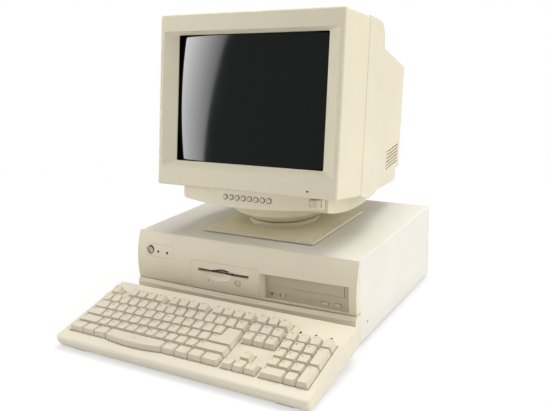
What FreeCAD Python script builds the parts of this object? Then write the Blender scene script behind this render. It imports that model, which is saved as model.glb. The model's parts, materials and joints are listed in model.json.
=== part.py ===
"""Home computer of the mid 1990s: desktop system unit, tube monitor on a
tilt-and-swivel stand, and a full-size keyboard.

Millimetres. +X runs to the right along the front of the case, +Y runs away
from the person who types, +Z is up and the desk is the plane z = 0. While the
pieces are modelled, x = 0 is the middle of the case and y = 0 is the front
edge of its steel cover. At the end everything moves along Y together, so that
the origin lies on the desk under the middle of the whole set.
"""
import FreeCAD
import Part
import math
import os

V = FreeCAD.Vector
X = V(1, 0, 0)
Y = V(0, 1, 0)
Z = V(0, 0, 1)

# Fits and clearances
FIT = 0.2             # moulded or folded piece inside another, each side
GUIDE = 0.4           # gap round a button or tray that slides in an opening
RUNNING = 0.08        # radial gap of a pin or shaft that turns in its bore
SEAT_GAP = 0.3        # gap between curved faces of two bodies

# System unit
CASE_W = 420.0
CASE_D = 330.0        # steel cover, front edge to rear edge
CASE_TOP = 139.5      # top of the cover above the desk
CASE_FOOT_H = 6.0
CASE_FOOT_R = 10.0
CASE_FOOT_INSET = 32.0
SHEET = 1.0           # steel sheet of cover, pan and drive cage
COVER_BEND_R = 2.5
PAN_FLANGE_H = 14.0

# Front moulding of the system unit
BEZEL_WALL = 2.5
BEZEL_REACH = 16.0    # how far its widest line stands in front of the cover
BEZEL_BOW = 5.0       # extra reach in the middle, as the face is bowed
BEZEL_TOP_SET = 2.0   # top edge in front of the cover
BEZEL_BELLY_Z = 84.0  # height of the widest line
GROOVE_Z = 57.0       # shadow groove between upper panel and plinth
GROOVE_H = 1.6
GROOVE_DEEP = 3.0
PLINTH_REACH = 19.0
PLINTH_POST_W = 9.0   # corner post to the right of the seam
BEZEL_LOW_Z = 7.0

# Compact disc drive
CD_X = 124.5          # centre of the bay from the middle of the case
CD_LOW_Z = 59.5
CD_BAY_W = 147.0
CD_BAY_H = 41.5
CD_BODY_W = 146.0
CD_BODY_D = 186.0
CD_RECESS = 8.0       # fascia behind the widest line of the moulding
CD_FACE_T = 4.0
CD_DOOR_W = 134.0
CD_DOOR_H = 17.5
CD_TRAY_W = 128.0
CD_TRAY_D = 140.0
CD_TRAY_H = 7.0
CD_DISC_R = 60.5
CD_BEVEL_W = 6.5      # sloping reveal on the left of the bay

# Diskette drive
FLOPPY_X = -25.0
FLOPPY_SLOT_Z = 91.0
FLOPPY_SLOT_W = 100.0
FLOPPY_SLOT_H = 4.8
FLOPPY_W = 101.6
FLOPPY_H = 25.4
FLOPPY_D = 146.0
FLOPPY_EJECT_X = 29.0     # right of the slot's centre
FLOPPY_EJECT_DROP = 12.5  # below the slot
FLOPPY_EJECT_R = 5.0
FLOPPY_LIGHT_X = -30.0
FLOPPY_LIGHT_DROP = 17.0
SCOOP_W = 66.0            # finger scoop under the slot
SCOOP_X = -12.0
SCOOP_H = 17.0

# Power button and lights of the system unit
POWER_X = -180.0
POWER_Z = 110.0
POWER_R = 6.5
CASE_LIGHT_R = 1.5
CASE_LIGHT_X = (-163.0, -143.0)
CASE_LIGHT_Z = 108.5

# Parts inside the system unit
PSU_W = 150.0
PSU_H = 86.0
PSU_D = 138.0
PSU_X = 125.0
PSU_FAN_R = 38.0
PSU_FAN_T = 15.0
BOARD_W = 244.0
BOARD_D = 220.0
BOARD_T = 1.6
BOARD_X = -80.0
BOARD_STANDOFF = 6.0
RISER_X = -52.0
RISER_H = 96.0
RISER_REAR = 40.0         # clear behind the card
RISER_D = 120.0
SLOT_COUNT = 4
SLOT_PITCH = 20.3
SLOT_OPEN_W = 112.0
SLOT_OPEN_H = 13.0
DISK_W = 101.6
DISK_H = 25.4
DISK_D = 146.0

# Monitor
MON_X = 7.0               # middle of the monitor and its stand
MON_W = 336.0
MON_H = 280.0
MON_TILT = 9.5            # lean back at rest, degrees
MON_WALL = 3.0
MON_SEAM = 91.0           # joint of bezel and rear cover behind the front face
MON_EDGE_R = 4.0
BEVEL_X = 160.0           # half width of the sloping frame at the front face
BEVEL_LOW = 31.0
BEVEL_HIGH = 252.5
GLASS_X = 138.0           # half width of the opening at the glass
GLASS_LOW = 41.5
GLASS_HIGH = 248.0
BEVEL_DEEP = 12.0
LIP_WALL = 2.0
SHOULDER_X = 150.0        # half width where the shoulder meets the tail
SHOULDER_Y = 205.0
SHOULDER_R = 62.0         # round of the shoulder's rear edge
TAIL_X = 131.0            # half width at the rear wall
TAIL_Y = 360.0
TAIL_TOP_FRONT = 243.0
TAIL_TOP_REAR = 226.0
TAIL_LOW_FRONT = -6.0
TAIL_LOW_REAR = 12.0
TAIL_NOTCH_Y = 336.0
TAIL_NOTCH_Z = 38.0
VENT_COUNT = 6
VENT_PITCH = 6.2
VENT_H = 2.6
VENT_Y = (262.0, 346.0)
VENT_Z = 34.0
VENT_RISE = 9.5           # slots are level when the monitor leans back

# Control strip under the screen
STRIP_X = 117.0
STRIP_FRONT = 4.0         # middle of the strip behind the front face
STRIP_BOW = 9.0
STRIP_LOW = -27.0
STRIP_END_LOW = -19.5
HOUSING_X = 136.0         # half width of the housing behind the strip
HOUSING_Y = 40.0
HOUSING_LOW = -27.5
HOUSING_END = 190.0
KNOB_COUNT = 8
KNOB_PITCH = 11.6
KNOB_R = 3.6
KNOB_X = -31.0
KNOB_Z = -11.0
KNOB_TRAVEL = 1.2
MON_SWITCH_X = 124.0
MON_SWITCH_W = 13.0
MON_SWITCH_H = 11.0
MON_SWITCH_Z = -9.0
MON_LIGHT_X = 119.0
MON_LIGHT_Z = 10.0

# Tube
TUBE_X = 146.0            # half width of the glass panel
TUBE_LOW = 33.0
TUBE_HIGH = 257.0
TUBE_FACE_R = 1300.0      # curve of the face
TUBE_EDGE_Y = 22.0        # glass corner behind the front face
TUBE_PANEL_Y = 62.0
TUBE_NECK_Y = 205.0
TUBE_END_Y = 318.0
TUBE_NECK_R = 14.5
TUBE_GLASS = 6.0

# Stand
PLATE_W = 216.0
PLATE_D = 206.0
PLATE_Y = 137.0           # centre of the base plate behind the cover's front
PLATE_EDGE_H = 4.5
PAD_H = 1.5
PLATE_RISE = 3.0          # the plate climbs towards the ring
RING_R = 57.0             # inner edge of the ring at its top
RING_T = 4.5
RING_TOP = 15.5           # above the case top
BOWL_R = 140.0
BOWL_T = 2.5
BOWL_TOP_R = 88.0
BOWL_CENTRE_UP = 77.0     # centre of the bowl in the upright monitor
BOWL_CENTRE_BACK = 129.0
POST_R = 8.0
SLOT_HALF = 11.0          # half width of the slot in the bowl
SLIDE_KEY_Y = 11.0        # reach of the slider's keys along the slot
SLIDE_HALF_W = 22.0
SLIDE_R = 32.0
TILT_FORWARD = 12.0
TILT_BACK = 5.0

# Keyboard
KB_W = 450.0
KB_D = 166.0
KB_FRONT_Y = -204.0
KB_LEAN = 6.5             # lift given by the two flip feet, degrees
KB_PAD_H = 2.0
KB_WALL = 2.2
KB_SPLIT = 6.5            # joint of the two shells above the bottom face
KB_LIP_Y = 5.6
KB_LIP_Z = 18.1
KB_SLOPE = 5.7            # slope of the top face over the bottom face
KB_CORNER_R = 5.0
KEY_PITCH = 19.05
KEY_GAP = 0.9
KEY_FRONT = 21.5          # front of the bottom row behind the front edge
KEY_TOP_W = 12.6
KEY_TOP_D = 13.6
KEY_WALL = 1.3
KEY_SKIRT = 0.6           # skirt above the top face of the shell
KEY_WELL = 1.0            # rim of each well outside the keys
STEM = 5.0
PLATE_N = 7.0             # key plate below the top face
KEY_PLATE_T = 2.0
SHEET_N = 14.6            # switch sheet below the top face
SHEET_T = 1.0
KB_FOOT_W = 30.0
KB_FOOT_Y = 150.0
KB_FOOT_X = 180.0
KB_FOOT_PIN = 1.6


def box(x0, x1, y0, y1, z0, z1):
    """Block between two corners."""
    return Part.makeBox(x1 - x0, y1 - y0, z1 - z0, V(x0, y0, z0))


def rod(radius, start, axis, length):
    """Round bar from its start point along an axis."""
    return Part.makeCylinder(radius, length, start, axis)


def ring(outer, inner, start, axis, length):
    """Tube from its start point along an axis."""
    core = rod(inner, start - axis * 1.0, axis, length + 2.0)
    return rod(outer, start, axis, length).cut(core)


def outline(steps):
    """Closed face. A step is a point, or a pair of points for an arc that
    passes through the first and ends at the second."""
    edges = []
    here = steps[0]
    for step in list(steps[1:]) + [steps[0]]:
        if isinstance(step, tuple):
            edges.append(Part.Arc(here, step[0], step[1]).toShape())
            here = step[1]
        elif step.distanceToPoint(here) > 1e-6:
            edges.append(Part.LineSegment(here, step).toShape())
            here = step
    return Part.Face(Part.Wire(edges))


def side_bar(steps, x0, x1):
    """Bar with a side profile of (y, z) points, between two x values."""
    points = [on_side(step, x0) for step in steps]
    return outline(points).extrude(V(x1 - x0, 0, 0))


def on_side(step, x):
    """A (y, z) point, or a pair of them for an arc, on the plane at x."""
    if isinstance(step[0], tuple):
        return tuple(V(x, y, z) for y, z in step)
    return V(x, step[0], step[1])


def plan_bar(steps, z0, z1):
    """Bar with a plan of (x, y) points, between two heights."""
    points = [on_plan(step, z0) for step in steps]
    return outline(points).extrude(V(0, 0, z1 - z0))


def on_plan(step, z):
    """An (x, y) point, or a pair of them for an arc, at height z."""
    if isinstance(step[0], tuple):
        return tuple(V(x, y, z) for x, y in step)
    return V(step[0], step[1], z)


def round_rect(x0, x1, z0, z1, radius, y):
    """Upright rounded rectangle as a wire of four lines and four arcs."""
    k = radius * (1.0 - math.sqrt(0.5))
    steps = [V(x0 + radius, y, z0), V(x1 - radius, y, z0),
             (V(x1 - k, y, z0 + k), V(x1, y, z0 + radius)), V(x1, y, z1 - radius),
             (V(x1 - k, y, z1 - k), V(x1 - radius, y, z1)), V(x0 + radius, y, z1),
             (V(x0 + k, y, z1 - k), V(x0, y, z1 - radius)), V(x0, y, z0 + radius),
             (V(x0 + k, y, z0 + k), V(x0 + radius, y, z0))]
    return outline(steps).OuterWire


def loft(wires, ruled=True):
    """Solid through a row of wires."""
    return Part.makeLoft(wires, True, ruled)


def rounded(solid, radius, pick):
    """Fillet the edges whose middle and direction satisfy pick."""
    edges = [edge for edge in solid.Edges if pick(*edge_facts(edge))]
    return solid.makeFillet(radius, edges)


def edge_facts(edge):
    """Middle point and chord direction of an edge."""
    start = edge.valueAt(edge.FirstParameter)
    end = edge.valueAt(edge.LastParameter)
    chord = end - start
    middle = edge.valueAt(0.5 * (edge.FirstParameter + edge.LastParameter))
    return middle, chord.normalize() if chord.Length > 1e-6 else V(0, 0, 0)


def group(solids):
    """Separate solids that share one node."""
    return Part.makeCompound(solids)


def fuse(solids):
    """One solid from several that touch or overlap."""
    whole = solids[0].multiFuse(solids[1:]) if len(solids) > 1 else solids[0]
    return whole.removeSplitter()


PARTS = {}

# Levels and edges worked out from the sizes above
HALF = CASE_W / 2
PAN_LOW = CASE_FOOT_H
PAN_HALF = HALF - SHEET - FIT
PAN_TOP = CASE_TOP - SHEET - FIT
BOARD_LOW = PAN_LOW + SHEET + BOARD_STANDOFF
BOARD_TOP = BOARD_LOW + BOARD_T
REAR = CASE_D - SHEET
BAY_X0 = CD_X - CD_BAY_W / 2
BAY_X1 = CD_X + CD_BAY_W / 2
BAY_TOP = CD_LOW_Z + CD_BAY_H
CD_FRONT = -(BEZEL_REACH + BEZEL_BOW * 0.7 - CD_RECESS)
FLOPPY_TOP = FLOPPY_SLOT_Z + 7.0
FLOPPY_BASE = FLOPPY_TOP - FLOPPY_H
FACE_IN = -(BEZEL_REACH - BEZEL_WALL)


def bezel_profile(grow):
    """Side outline of the upper front panel, (y, z), grown by a distance."""
    reach = BEZEL_REACH + grow
    top = CASE_TOP + grow
    return [(0, top), (-BEZEL_TOP_SET - grow, top),
            ((-reach * 0.72, CASE_TOP - 0.45 * (CASE_TOP - BEZEL_BELLY_Z) + grow * 0.7),
             (-reach, BEZEL_BELLY_Z)),
            ((-reach + 0.4, 0.5 * (BEZEL_BELLY_Z + GROOVE_Z)), (-reach + 1.6, GROOVE_Z)),
            (0, GROOVE_Z)]


def bowed_bar(profile, half_w, bow):
    """Bar along X whose side profile moves forward in the middle by the bow,
    lofted through five copies of the profile."""
    front = min(point_y(step) for step in profile)
    wires = []
    for part in range(5):
        share = part / 4.0
        x = -half_w + 2 * half_w * share
        shift = bow * (1.0 - (2 * share - 1) ** 2)
        steps = [on_side(shifted(step, shift, front), x) for step in profile]
        wires.append(outline(steps).OuterWire)
    return Part.makeLoft(wires, True, False)


def point_y(step):
    """The y value of a step's end."""
    return step[1][0] if isinstance(step[0], tuple) else step[0]


def shifted(step, shift, front):
    """A profile step moved forward in the share that it stands in front."""
    if isinstance(step[0], tuple):
        return tuple(shifted(point, shift, front) for point in step)
    return (step[0] + shift * step[0] / abs(front), step[1])


def front_bezel():
    """Moulded front: bowed upper panel, shadow groove, plinth and openings."""
    upper = bowed_bar(bezel_profile(0.0), HALF, BEZEL_BOW)
    plinth_top = GROOVE_Z - GROOVE_H
    low = [(0, plinth_top), (-BEZEL_REACH + 0.5, plinth_top),
           (-PLINTH_REACH, plinth_top - 6.0), (-PLINTH_REACH + 1.0, BEZEL_LOW_Z), (0, BEZEL_LOW_Z)]
    plinth = bowed_bar(low, HALF, BEZEL_BOW)
    neck = box(-HALF + GROOVE_DEEP, HALF - GROOVE_DEEP, -BEZEL_REACH + GROOVE_DEEP, 0,
               plinth_top - 1.0, GROOVE_Z + 1.0)
    shell = upper.fuse([plinth, neck])
    w = BEZEL_WALL
    top = CASE_TOP - w
    neck_in = -BEZEL_REACH + GROOVE_DEEP + w
    room = side_bar([(1, top), (-3.0, top), (FACE_IN, BEZEL_BELLY_Z + 12), (FACE_IN, GROOVE_Z + 10),
                     (neck_in, GROOVE_Z + w), (neck_in, plinth_top - w), (FACE_IN - 1.0, plinth_top - 10),
                     (FACE_IN - 1.0, BEZEL_LOW_Z + w), (1, BEZEL_LOW_Z + w)],
                    -HALF + w, HALF - w)
    shell = shell.cut(room)
    shell = shell.fuse([wall.common(upper) for wall in bay_walls()])
    return shell.cut(fuse(bezel_cuts())).removeSplitter()


def bay_walls():
    """Frame round the disc drive bay and boss round the power button."""
    w = BEZEL_WALL
    frame = box(BAY_X0 - w, BAY_X1 + w, FACE_IN - 3, 0, CD_LOW_Z - w, BAY_TOP + w)
    boss = rod(POWER_R + GUIDE + 2.0, V(POWER_X, FACE_IN - 4.0, POWER_Z), Y, 10.0)
    return [frame, boss]


def bezel_cuts():
    """Everything that opens the front moulding."""
    far = -60.0
    bay = box(BAY_X0, BAY_X1, far, 5, CD_LOW_Z, BAY_TOP)
    reveal = plan_bar([(BAY_X0 + 0.01, CD_FRONT), (BAY_X0 - CD_BEVEL_W, -BEZEL_REACH - BEZEL_BOW),
                       (BAY_X0 - CD_BEVEL_W, far), (BAY_X0 + 0.01, far)], CD_LOW_Z, BAY_TOP)
    z = FLOPPY_SLOT_Z
    slot = box(FLOPPY_X - FLOPPY_SLOT_W / 2, FLOPPY_X + FLOPPY_SLOT_W / 2, far, 5,
               z - FLOPPY_SLOT_H / 2, z + FLOPPY_SLOT_H / 2)
    scoop = finger_scoop()
    eject = rod(FLOPPY_EJECT_R + GUIDE, V(FLOPPY_X + FLOPPY_EJECT_X, far, z - FLOPPY_EJECT_DROP), Y, 70)
    light = rod(CASE_LIGHT_R, V(FLOPPY_X + FLOPPY_LIGHT_X, far, z - FLOPPY_LIGHT_DROP), Y, 70)
    power = rod(POWER_R + GUIDE, V(POWER_X, far, POWER_Z), Y, 70)
    lamps = [rod(CASE_LIGHT_R + 0.05, V(x, far, CASE_LIGHT_Z), Y, 70) for x in CASE_LIGHT_X]
    seam = box(HALF - PLINTH_POST_W, HALF - PLINTH_POST_W + 0.8, -PLINTH_REACH - 8,
               -PLINTH_REACH + 0.6, 0, GROOVE_Z - GROOVE_H)
    return [bay, reveal, slot, scoop, eject, light, power, seam] + lamps


def finger_scoop():
    """Dished recess below the diskette slot, a slice of a lying ellipsoid."""
    ball = Part.makeSphere(SCOOP_W / 2, V(0, 0, 0))
    squash = FreeCAD.Matrix()
    squash.scale(1.0, 0.25, SCOOP_H / (SCOOP_W / 2))
    dish = ball.transformGeometry(squash)
    top = FLOPPY_SLOT_Z
    dish.translate(V(FLOPPY_X + SCOOP_X, -BEZEL_REACH - BEZEL_BOW - 3.5, top))
    return dish.common(box(-HALF, HALF, -80, 0, 0, top))


def case_pan():
    """Steel pan: floor, side flanges, front wall and rear wall with openings."""
    s = SHEET
    floor = box(-PAN_HALF, PAN_HALF, 0, CASE_D, PAN_LOW, PAN_LOW + s)
    left = box(-PAN_HALF, -PAN_HALF + s, 0, CASE_D, PAN_LOW, PAN_LOW + PAN_FLANGE_H)
    right = box(PAN_HALF - s, PAN_HALF, 0, CASE_D, PAN_LOW, PAN_LOW + PAN_FLANGE_H)
    front = end_wall(0)
    rear = end_wall(REAR)
    posts = [rod(3.0, V(x, y, PAN_LOW), Z, BOARD_LOW - PAN_LOW) for x, y in standoffs()]
    pan = fuse([floor, left, right, front, rear] + posts)
    g = GUIDE
    cuts = [box(BAY_X0 - g, BAY_X1 + g, -1, 2, CD_LOW_Z - g, BAY_TOP + g),
            box(FLOPPY_X - FLOPPY_W / 2 - g, FLOPPY_X + FLOPPY_W / 2 + g, -1, 2,
                FLOPPY_BASE - g, FLOPPY_TOP + g),
            rod(POWER_R + 1.0, V(POWER_X, -1, POWER_Z), Y, 4)]
    cuts += [slot_opening(i) for i in range(SLOT_COUNT)]
    cuts += [box(PSU_X - 60, PSU_X + 60, REAR - 1, CASE_D + 1, PAN_LOW + s + 8, PAN_LOW + s + 76)]
    cuts += [box(x0, x1, REAR - 1, CASE_D + 1, BOARD_TOP, z1) for x0, x1, z1 in port_spans()]
    return pan.cut(fuse(cuts)).removeSplitter()


def end_wall(y):
    """Front or rear wall of the pan, its top corners cut to clear the folds."""
    c = COVER_BEND_R
    steps = [V(-PAN_HALF, y, PAN_LOW), V(PAN_HALF, y, PAN_LOW), V(PAN_HALF, y, PAN_TOP - c),
             V(PAN_HALF - c, y, PAN_TOP), V(-PAN_HALF + c, y, PAN_TOP), V(-PAN_HALF, y, PAN_TOP - c)]
    return outline(steps).extrude(V(0, SHEET, 0))


def standoffs():
    """Places of the posts that carry the main board."""
    x0 = BOARD_X - BOARD_W / 2 + 12
    x1 = BOARD_X + BOARD_W / 2 - 12
    y1 = REAR - 14
    y0 = y1 - BOARD_D + 30
    return [(x0, y0), (x1, y0), (x0, y1), (x1, y1), (x0, (y0 + y1) / 2), (x1, (y0 + y1) / 2)]


def port_spans():
    """Rear openings for the board's sockets: left, right and top edge."""
    left = BOARD_X - BOARD_W / 2 + 22
    spans = []
    for width, height in ((34.0, 14.0), (20.0, 11.5), (56.0, 11.5), (34.0, 11.5)):
        spans.append((left, left + width, BOARD_TOP + height))
        left += width + 8.0
    return spans


def slot_opening(i):
    """Rear opening of one expansion slot."""
    z = slot_z(i)
    x1 = RISER_X - 8.0
    return box(x1 - SLOT_OPEN_W, x1, REAR - 2, CASE_D + 1, z, z + SLOT_OPEN_H)


def slot_z(i):
    """Lower edge of one expansion slot's opening."""
    return BOARD_TOP + 24.0 + i * SLOT_PITCH


def slot_covers():
    """Blanking strips on the inside of the rear wall."""
    x1 = RISER_X - 8.0
    strips = []
    for i in range(SLOT_COUNT):
        z = slot_z(i)
        blade = box(x1 - SLOT_OPEN_W - 3, x1 + 3, REAR - SHEET, REAR, z - 2, z + SLOT_OPEN_H + 2)
        tab = box(x1 + 3 - SHEET, x1 + 3, REAR - 9, REAR - SHEET, z - 2, z + SLOT_OPEN_H + 2)
        strips.append(blade.fuse(tab))
    return group(strips)


def case_cover():
    """Wrap-round steel cover: a channel with rounded folds and rolled edges."""
    r = COVER_BEND_R
    k = r * (1.0 - math.sqrt(0.5))
    low = PAN_LOW + 1.5

    def channel(off, rr, kk):
        h = HALF - off
        t = CASE_TOP - off
        return [V(-h, 0, low), V(-h, 0, t - rr), (V(-h + kk, 0, t - kk), V(-h + rr, 0, t)),
                V(h - rr, 0, t), (V(h - kk, 0, t - kk), V(h, 0, t - rr)), V(h, 0, low)]
    outer = outline(channel(0.0, r, k)).extrude(V(0, CASE_D, 0))
    ri = r - SHEET
    inner = outline(channel(SHEET, ri, ri * (1.0 - math.sqrt(0.5)))).extrude(V(0, CASE_D + 2, 0))
    inner.translate(V(0, -1, 0))
    rivet = box(HALF - 1.4, HALF + 1, 24, 29, 30, 33)
    return outer.cut(inner).cut(rivet)


def power_button():
    """Round push button with a dished face and a stem."""
    face = -(BEZEL_REACH - 2.5)
    cap = rod(POWER_R, V(POWER_X, face, POWER_Z), Y, 9.0)
    dish = Part.makeSphere(18.0, V(POWER_X, face - 17.0, POWER_Z))
    stem = rod(2.5, V(POWER_X, face + 9.0, POWER_Z), Y, 12.0)
    return cap.cut(dish).fuse(stem)


def case_lights():
    """Two clear light pins behind the front face."""
    return group([rod(CASE_LIGHT_R, V(x, face_y(x, CASE_LIGHT_Z) + 0.8, CASE_LIGHT_Z), Y, 8)
                  for x in CASE_LIGHT_X])


def face_y(x, z):
    """Front surface of the upper panel at a place, to the shape of its arc."""
    bow = BEZEL_BOW * (1.0 - (x / HALF) ** 2)
    fall = max(0.0, z - BEZEL_BELLY_Z) / (CASE_TOP - BEZEL_BELLY_Z)
    reach = BEZEL_REACH - (BEZEL_REACH - BEZEL_TOP_SET) * fall ** 2.2
    return -(reach + bow * reach / BEZEL_REACH)


def case_feet():
    """Four round rubber feet, each with a coned rim."""
    feet = []
    for x in (-HALF + CASE_FOOT_INSET, HALF - CASE_FOOT_INSET):
        for y in (CASE_FOOT_INSET, CASE_D - CASE_FOOT_INSET):
            feet.append(Part.makeCone(CASE_FOOT_R - 1.0, CASE_FOOT_R, CASE_FOOT_H, V(x, y, 0), Z))
    return group(feet)


def cover_screws():
    """Three pan-head screws that close the rear edge of the cover."""
    screws = []
    for x in (-HALF + 40, 0, HALF - 40):
        head = rod(4.0, V(x, CASE_D, CASE_TOP - 8.0), Y, 2.4)
        slot = box(x - 3.2, x + 3.2, CASE_D + 1.4, CASE_D + 3, CASE_TOP - 8.4, CASE_TOP - 7.6)
        screws.append(head.cut(slot))
    return group(screws)


def hollow_can(x0, x1, y0, y1, z0, z1, wall):
    """Closed sheet-metal can."""
    inside = box(x0 + wall, x1 - wall, y0 + wall, y1 - wall, z0 + wall, z1 - wall)
    return box(x0, x1, y0, y1, z0, z1).cut(inside)


def floppy_drive():
    """Diskette drive: steel can with a slot, a cavity for the disk and a
    channel for the eject button."""
    x0 = FLOPPY_X - FLOPPY_W / 2
    x1 = FLOPPY_X + FLOPPY_W / 2
    body = box(x0, x1, -4.0, FLOPPY_D - 4.0, FLOPPY_BASE, FLOPPY_TOP)
    z = FLOPPY_SLOT_Z
    mouth = box(x0 + 1.2, x1 - 1.2, -5, 96, z - FLOPPY_SLOT_H / 2, z + FLOPPY_SLOT_H / 2)
    works = box(x0 + 1.2, x1 - 1.2, 2, FLOPPY_D - 6, FLOPPY_BASE + 1.2, z - FLOPPY_SLOT_H / 2 - 1.5)
    ex = FLOPPY_X + FLOPPY_EJECT_X
    ez = z - FLOPPY_EJECT_DROP
    channel = rod(3.0 + GUIDE, V(ex, -5, ez), Y, 12)
    cable = box(FLOPPY_X - 22, FLOPPY_X + 22, FLOPPY_D - 7, FLOPPY_D, FLOPPY_BASE + 3, FLOPPY_BASE + 10)
    return body.cut(fuse([mouth, works, channel, cable]))


def floppy_eject():
    """Round eject button on a stem that slides in the drive."""
    ex = FLOPPY_X + FLOPPY_EJECT_X
    ez = FLOPPY_SLOT_Z - FLOPPY_EJECT_DROP
    face = face_y(ex, ez) + 0.4
    cap = Part.makeCone(FLOPPY_EJECT_R - 0.6, FLOPPY_EJECT_R, 1.2, V(ex, face, ez), Y)
    cap = cap.fuse(rod(FLOPPY_EJECT_R, V(ex, face + 1.2, ez), Y, 7.0))
    return cap.fuse(rod(3.0, V(ex, face + 8.2, ez), Y, -face - 6.2)).removeSplitter()


def cd_drive():
    """Disc drive: steel can with a moulded fascia and a tunnel for the tray."""
    x0 = CD_X - CD_BODY_W / 2
    x1 = CD_X + CD_BODY_W / 2
    z0 = CD_LOW_Z + FIT
    z1 = BAY_TOP - FIT
    y0 = CD_FRONT + CD_FACE_T
    can = box(x0, x1, y0, y0 + CD_BODY_D, z0, z1)
    face = box(x0 - 0.2, x1 + 0.2, CD_FRONT, y0, z0, z1)
    body = face.fuse(can)
    tx = CD_TRAY_W / 2 + GUIDE
    tz0, tz1 = tray_levels()
    tunnel = box(CD_X - tx, CD_X + tx, CD_FRONT - 1, y0 + CD_TRAY_D + 4, tz0 - GUIDE, tz1 + GUIDE)
    dx0, dx1 = door_span()
    door = box(dx0 - GUIDE, dx1 + GUIDE, CD_FRONT - 1, y0, z1 - 1.6 - CD_DOOR_H - GUIDE, z1 - 1.6 + GUIDE)
    works = box(x0 + 1.2, x1 - 1.2, y0 + 12, y0 + CD_BODY_D - 1.2, z0 + 1.2, tz0 - GUIDE - 1.2)
    jack = rod(1.8, V(*cd_spot(0)), Y, 9.0)
    jack_rim = ring(3.6, 2.6, V(*cd_spot(0)), Y, 0.6)
    cuts = [tunnel, door, works, jack, jack_rim]
    cuts += [box(x - CD_KEY_W / 2 - GUIDE, x + CD_KEY_W / 2 + GUIDE, CD_FRONT - 1, y0 + 8,
                 z - CD_KEY_H / 2 - GUIDE, z + CD_KEY_H / 2 + GUIDE)
             for x, z in (cd_spot(3)[::2], cd_spot(4)[::2])]
    wx, _, wz = cd_spot(1)
    cuts.append(box(wx - 6, wx + 6, CD_FRONT - 1, y0 + 12.5, wz - CD_WHEEL_T / 2 - GUIDE,
                    wz + CD_WHEEL_T / 2 + GUIDE))
    lx, _, lz = cd_spot(2)
    cuts.append(box(lx - 2.5, lx + 2.5, CD_FRONT - 1, CD_FRONT + 0.8, lz - 0.8, lz + 0.8))
    pin = rod(WHEEL_PIN_R, V(wx, wheel_y(), wz - CD_WHEEL_T), Z, 2 * CD_WHEEL_T)
    return body.cut(fuse(cuts)).fuse(pin)


def wheel_y():
    """Depth of the volume wheel's axis."""
    return CD_FRONT + 0.4 * CD_WHEEL_D


CD_KEY_W = 11.0
CD_KEY_H = 4.6
CD_WHEEL_D = 11.0
WHEEL_PIN_R = 1.5
CD_WHEEL_T = 3.4
CD_SPOTS = (-62.0, -42.0, 7.5, 32.0, 54.0)   # jack, wheel, light, play, eject


def cd_spot(i):
    """Place of one of the drive's controls on the fascia."""
    return (CD_X + CD_SPOTS[i], CD_FRONT, CD_LOW_Z + 7.6)


def tray_levels():
    """Lower and upper face of the disc tray."""
    low = BAY_TOP - 5.0 - CD_TRAY_H
    return low, low + CD_TRAY_H


def door_span():
    """Left and right edge of the tray's front door."""
    x0 = CD_X - CD_BODY_W / 2 + 3.5
    return x0, x0 + CD_DOOR_W


def cd_tray():
    """Disc tray with its stepped round recess, spindle slot and front door."""
    z0, z1 = tray_levels()
    y0 = CD_FRONT + CD_FACE_T
    half = CD_TRAY_W / 2
    slab = box(CD_X - half, CD_X + half, y0 - 2.5, y0 + CD_TRAY_D, z0, z1)
    cy = y0 + CD_TRAY_D / 2 - 4
    well = rod(CD_DISC_R, V(CD_X, cy, z1 - 3.0), Z, 10)
    small = rod(41.0, V(CD_X, cy, z1 - 4.6), Z, 10)
    spindle = box(CD_X - 19, CD_X + 19, cy - 19, y0 + CD_TRAY_D + 1, z0 - 1, z1 - 4)
    hub = rod(19.0, V(CD_X, cy, z0 - 1), Z, 8)
    dx0, dx1 = door_span()
    top = BAY_TOP - FIT - 1.6
    door = box(dx0, dx1, CD_FRONT - 0.4, CD_FRONT + 2.0, top - CD_DOOR_H, top)
    return slab.cut(fuse([well, small, spindle, hub])).fuse(door).removeSplitter()


def cd_key(i):
    """Lozenge push key of the disc drive with its stem."""
    x, y, z = cd_spot(i)
    w = CD_KEY_W / 2
    h = CD_KEY_H / 2
    face = plan_lozenge(x, z, w, h, y - 0.8, 5.0)
    return face.fuse(box(x - 2, x + 2, y + 4.2, y + CD_FACE_T + 5.5, z - 1.5, z + 1.5))


def plan_lozenge(x, z, w, h, y, depth):
    """Upright bar with round ends."""
    steps = [V(x - w + h, y, z - h), V(x + w - h, y, z - h),
             (V(x + w, y, z), V(x + w - h, y, z + h)), V(x - w + h, y, z + h),
             (V(x - w, y, z), V(x - w + h, y, z - h))]
    return outline(steps).extrude(V(0, depth, 0))


def cd_wheel():
    """Volume wheel: a knurled disc that shows through a slot."""
    x, _, z = cd_spot(1)
    base = V(x, wheel_y(), z - CD_WHEEL_T / 2)
    points = []
    for i in range(24):
        r = CD_WHEEL_D / 2 - 0.5 * ((i + 1) % 2)
        a = 2 * math.pi * i / 24
        points.append((base.x + r * math.cos(a), base.y + r * math.sin(a)))
    disc = plan_bar(points, base.z, base.z + CD_WHEEL_T)
    return disc.cut(rod(WHEEL_PIN_R + RUNNING, base, Z, CD_WHEEL_T))


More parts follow.
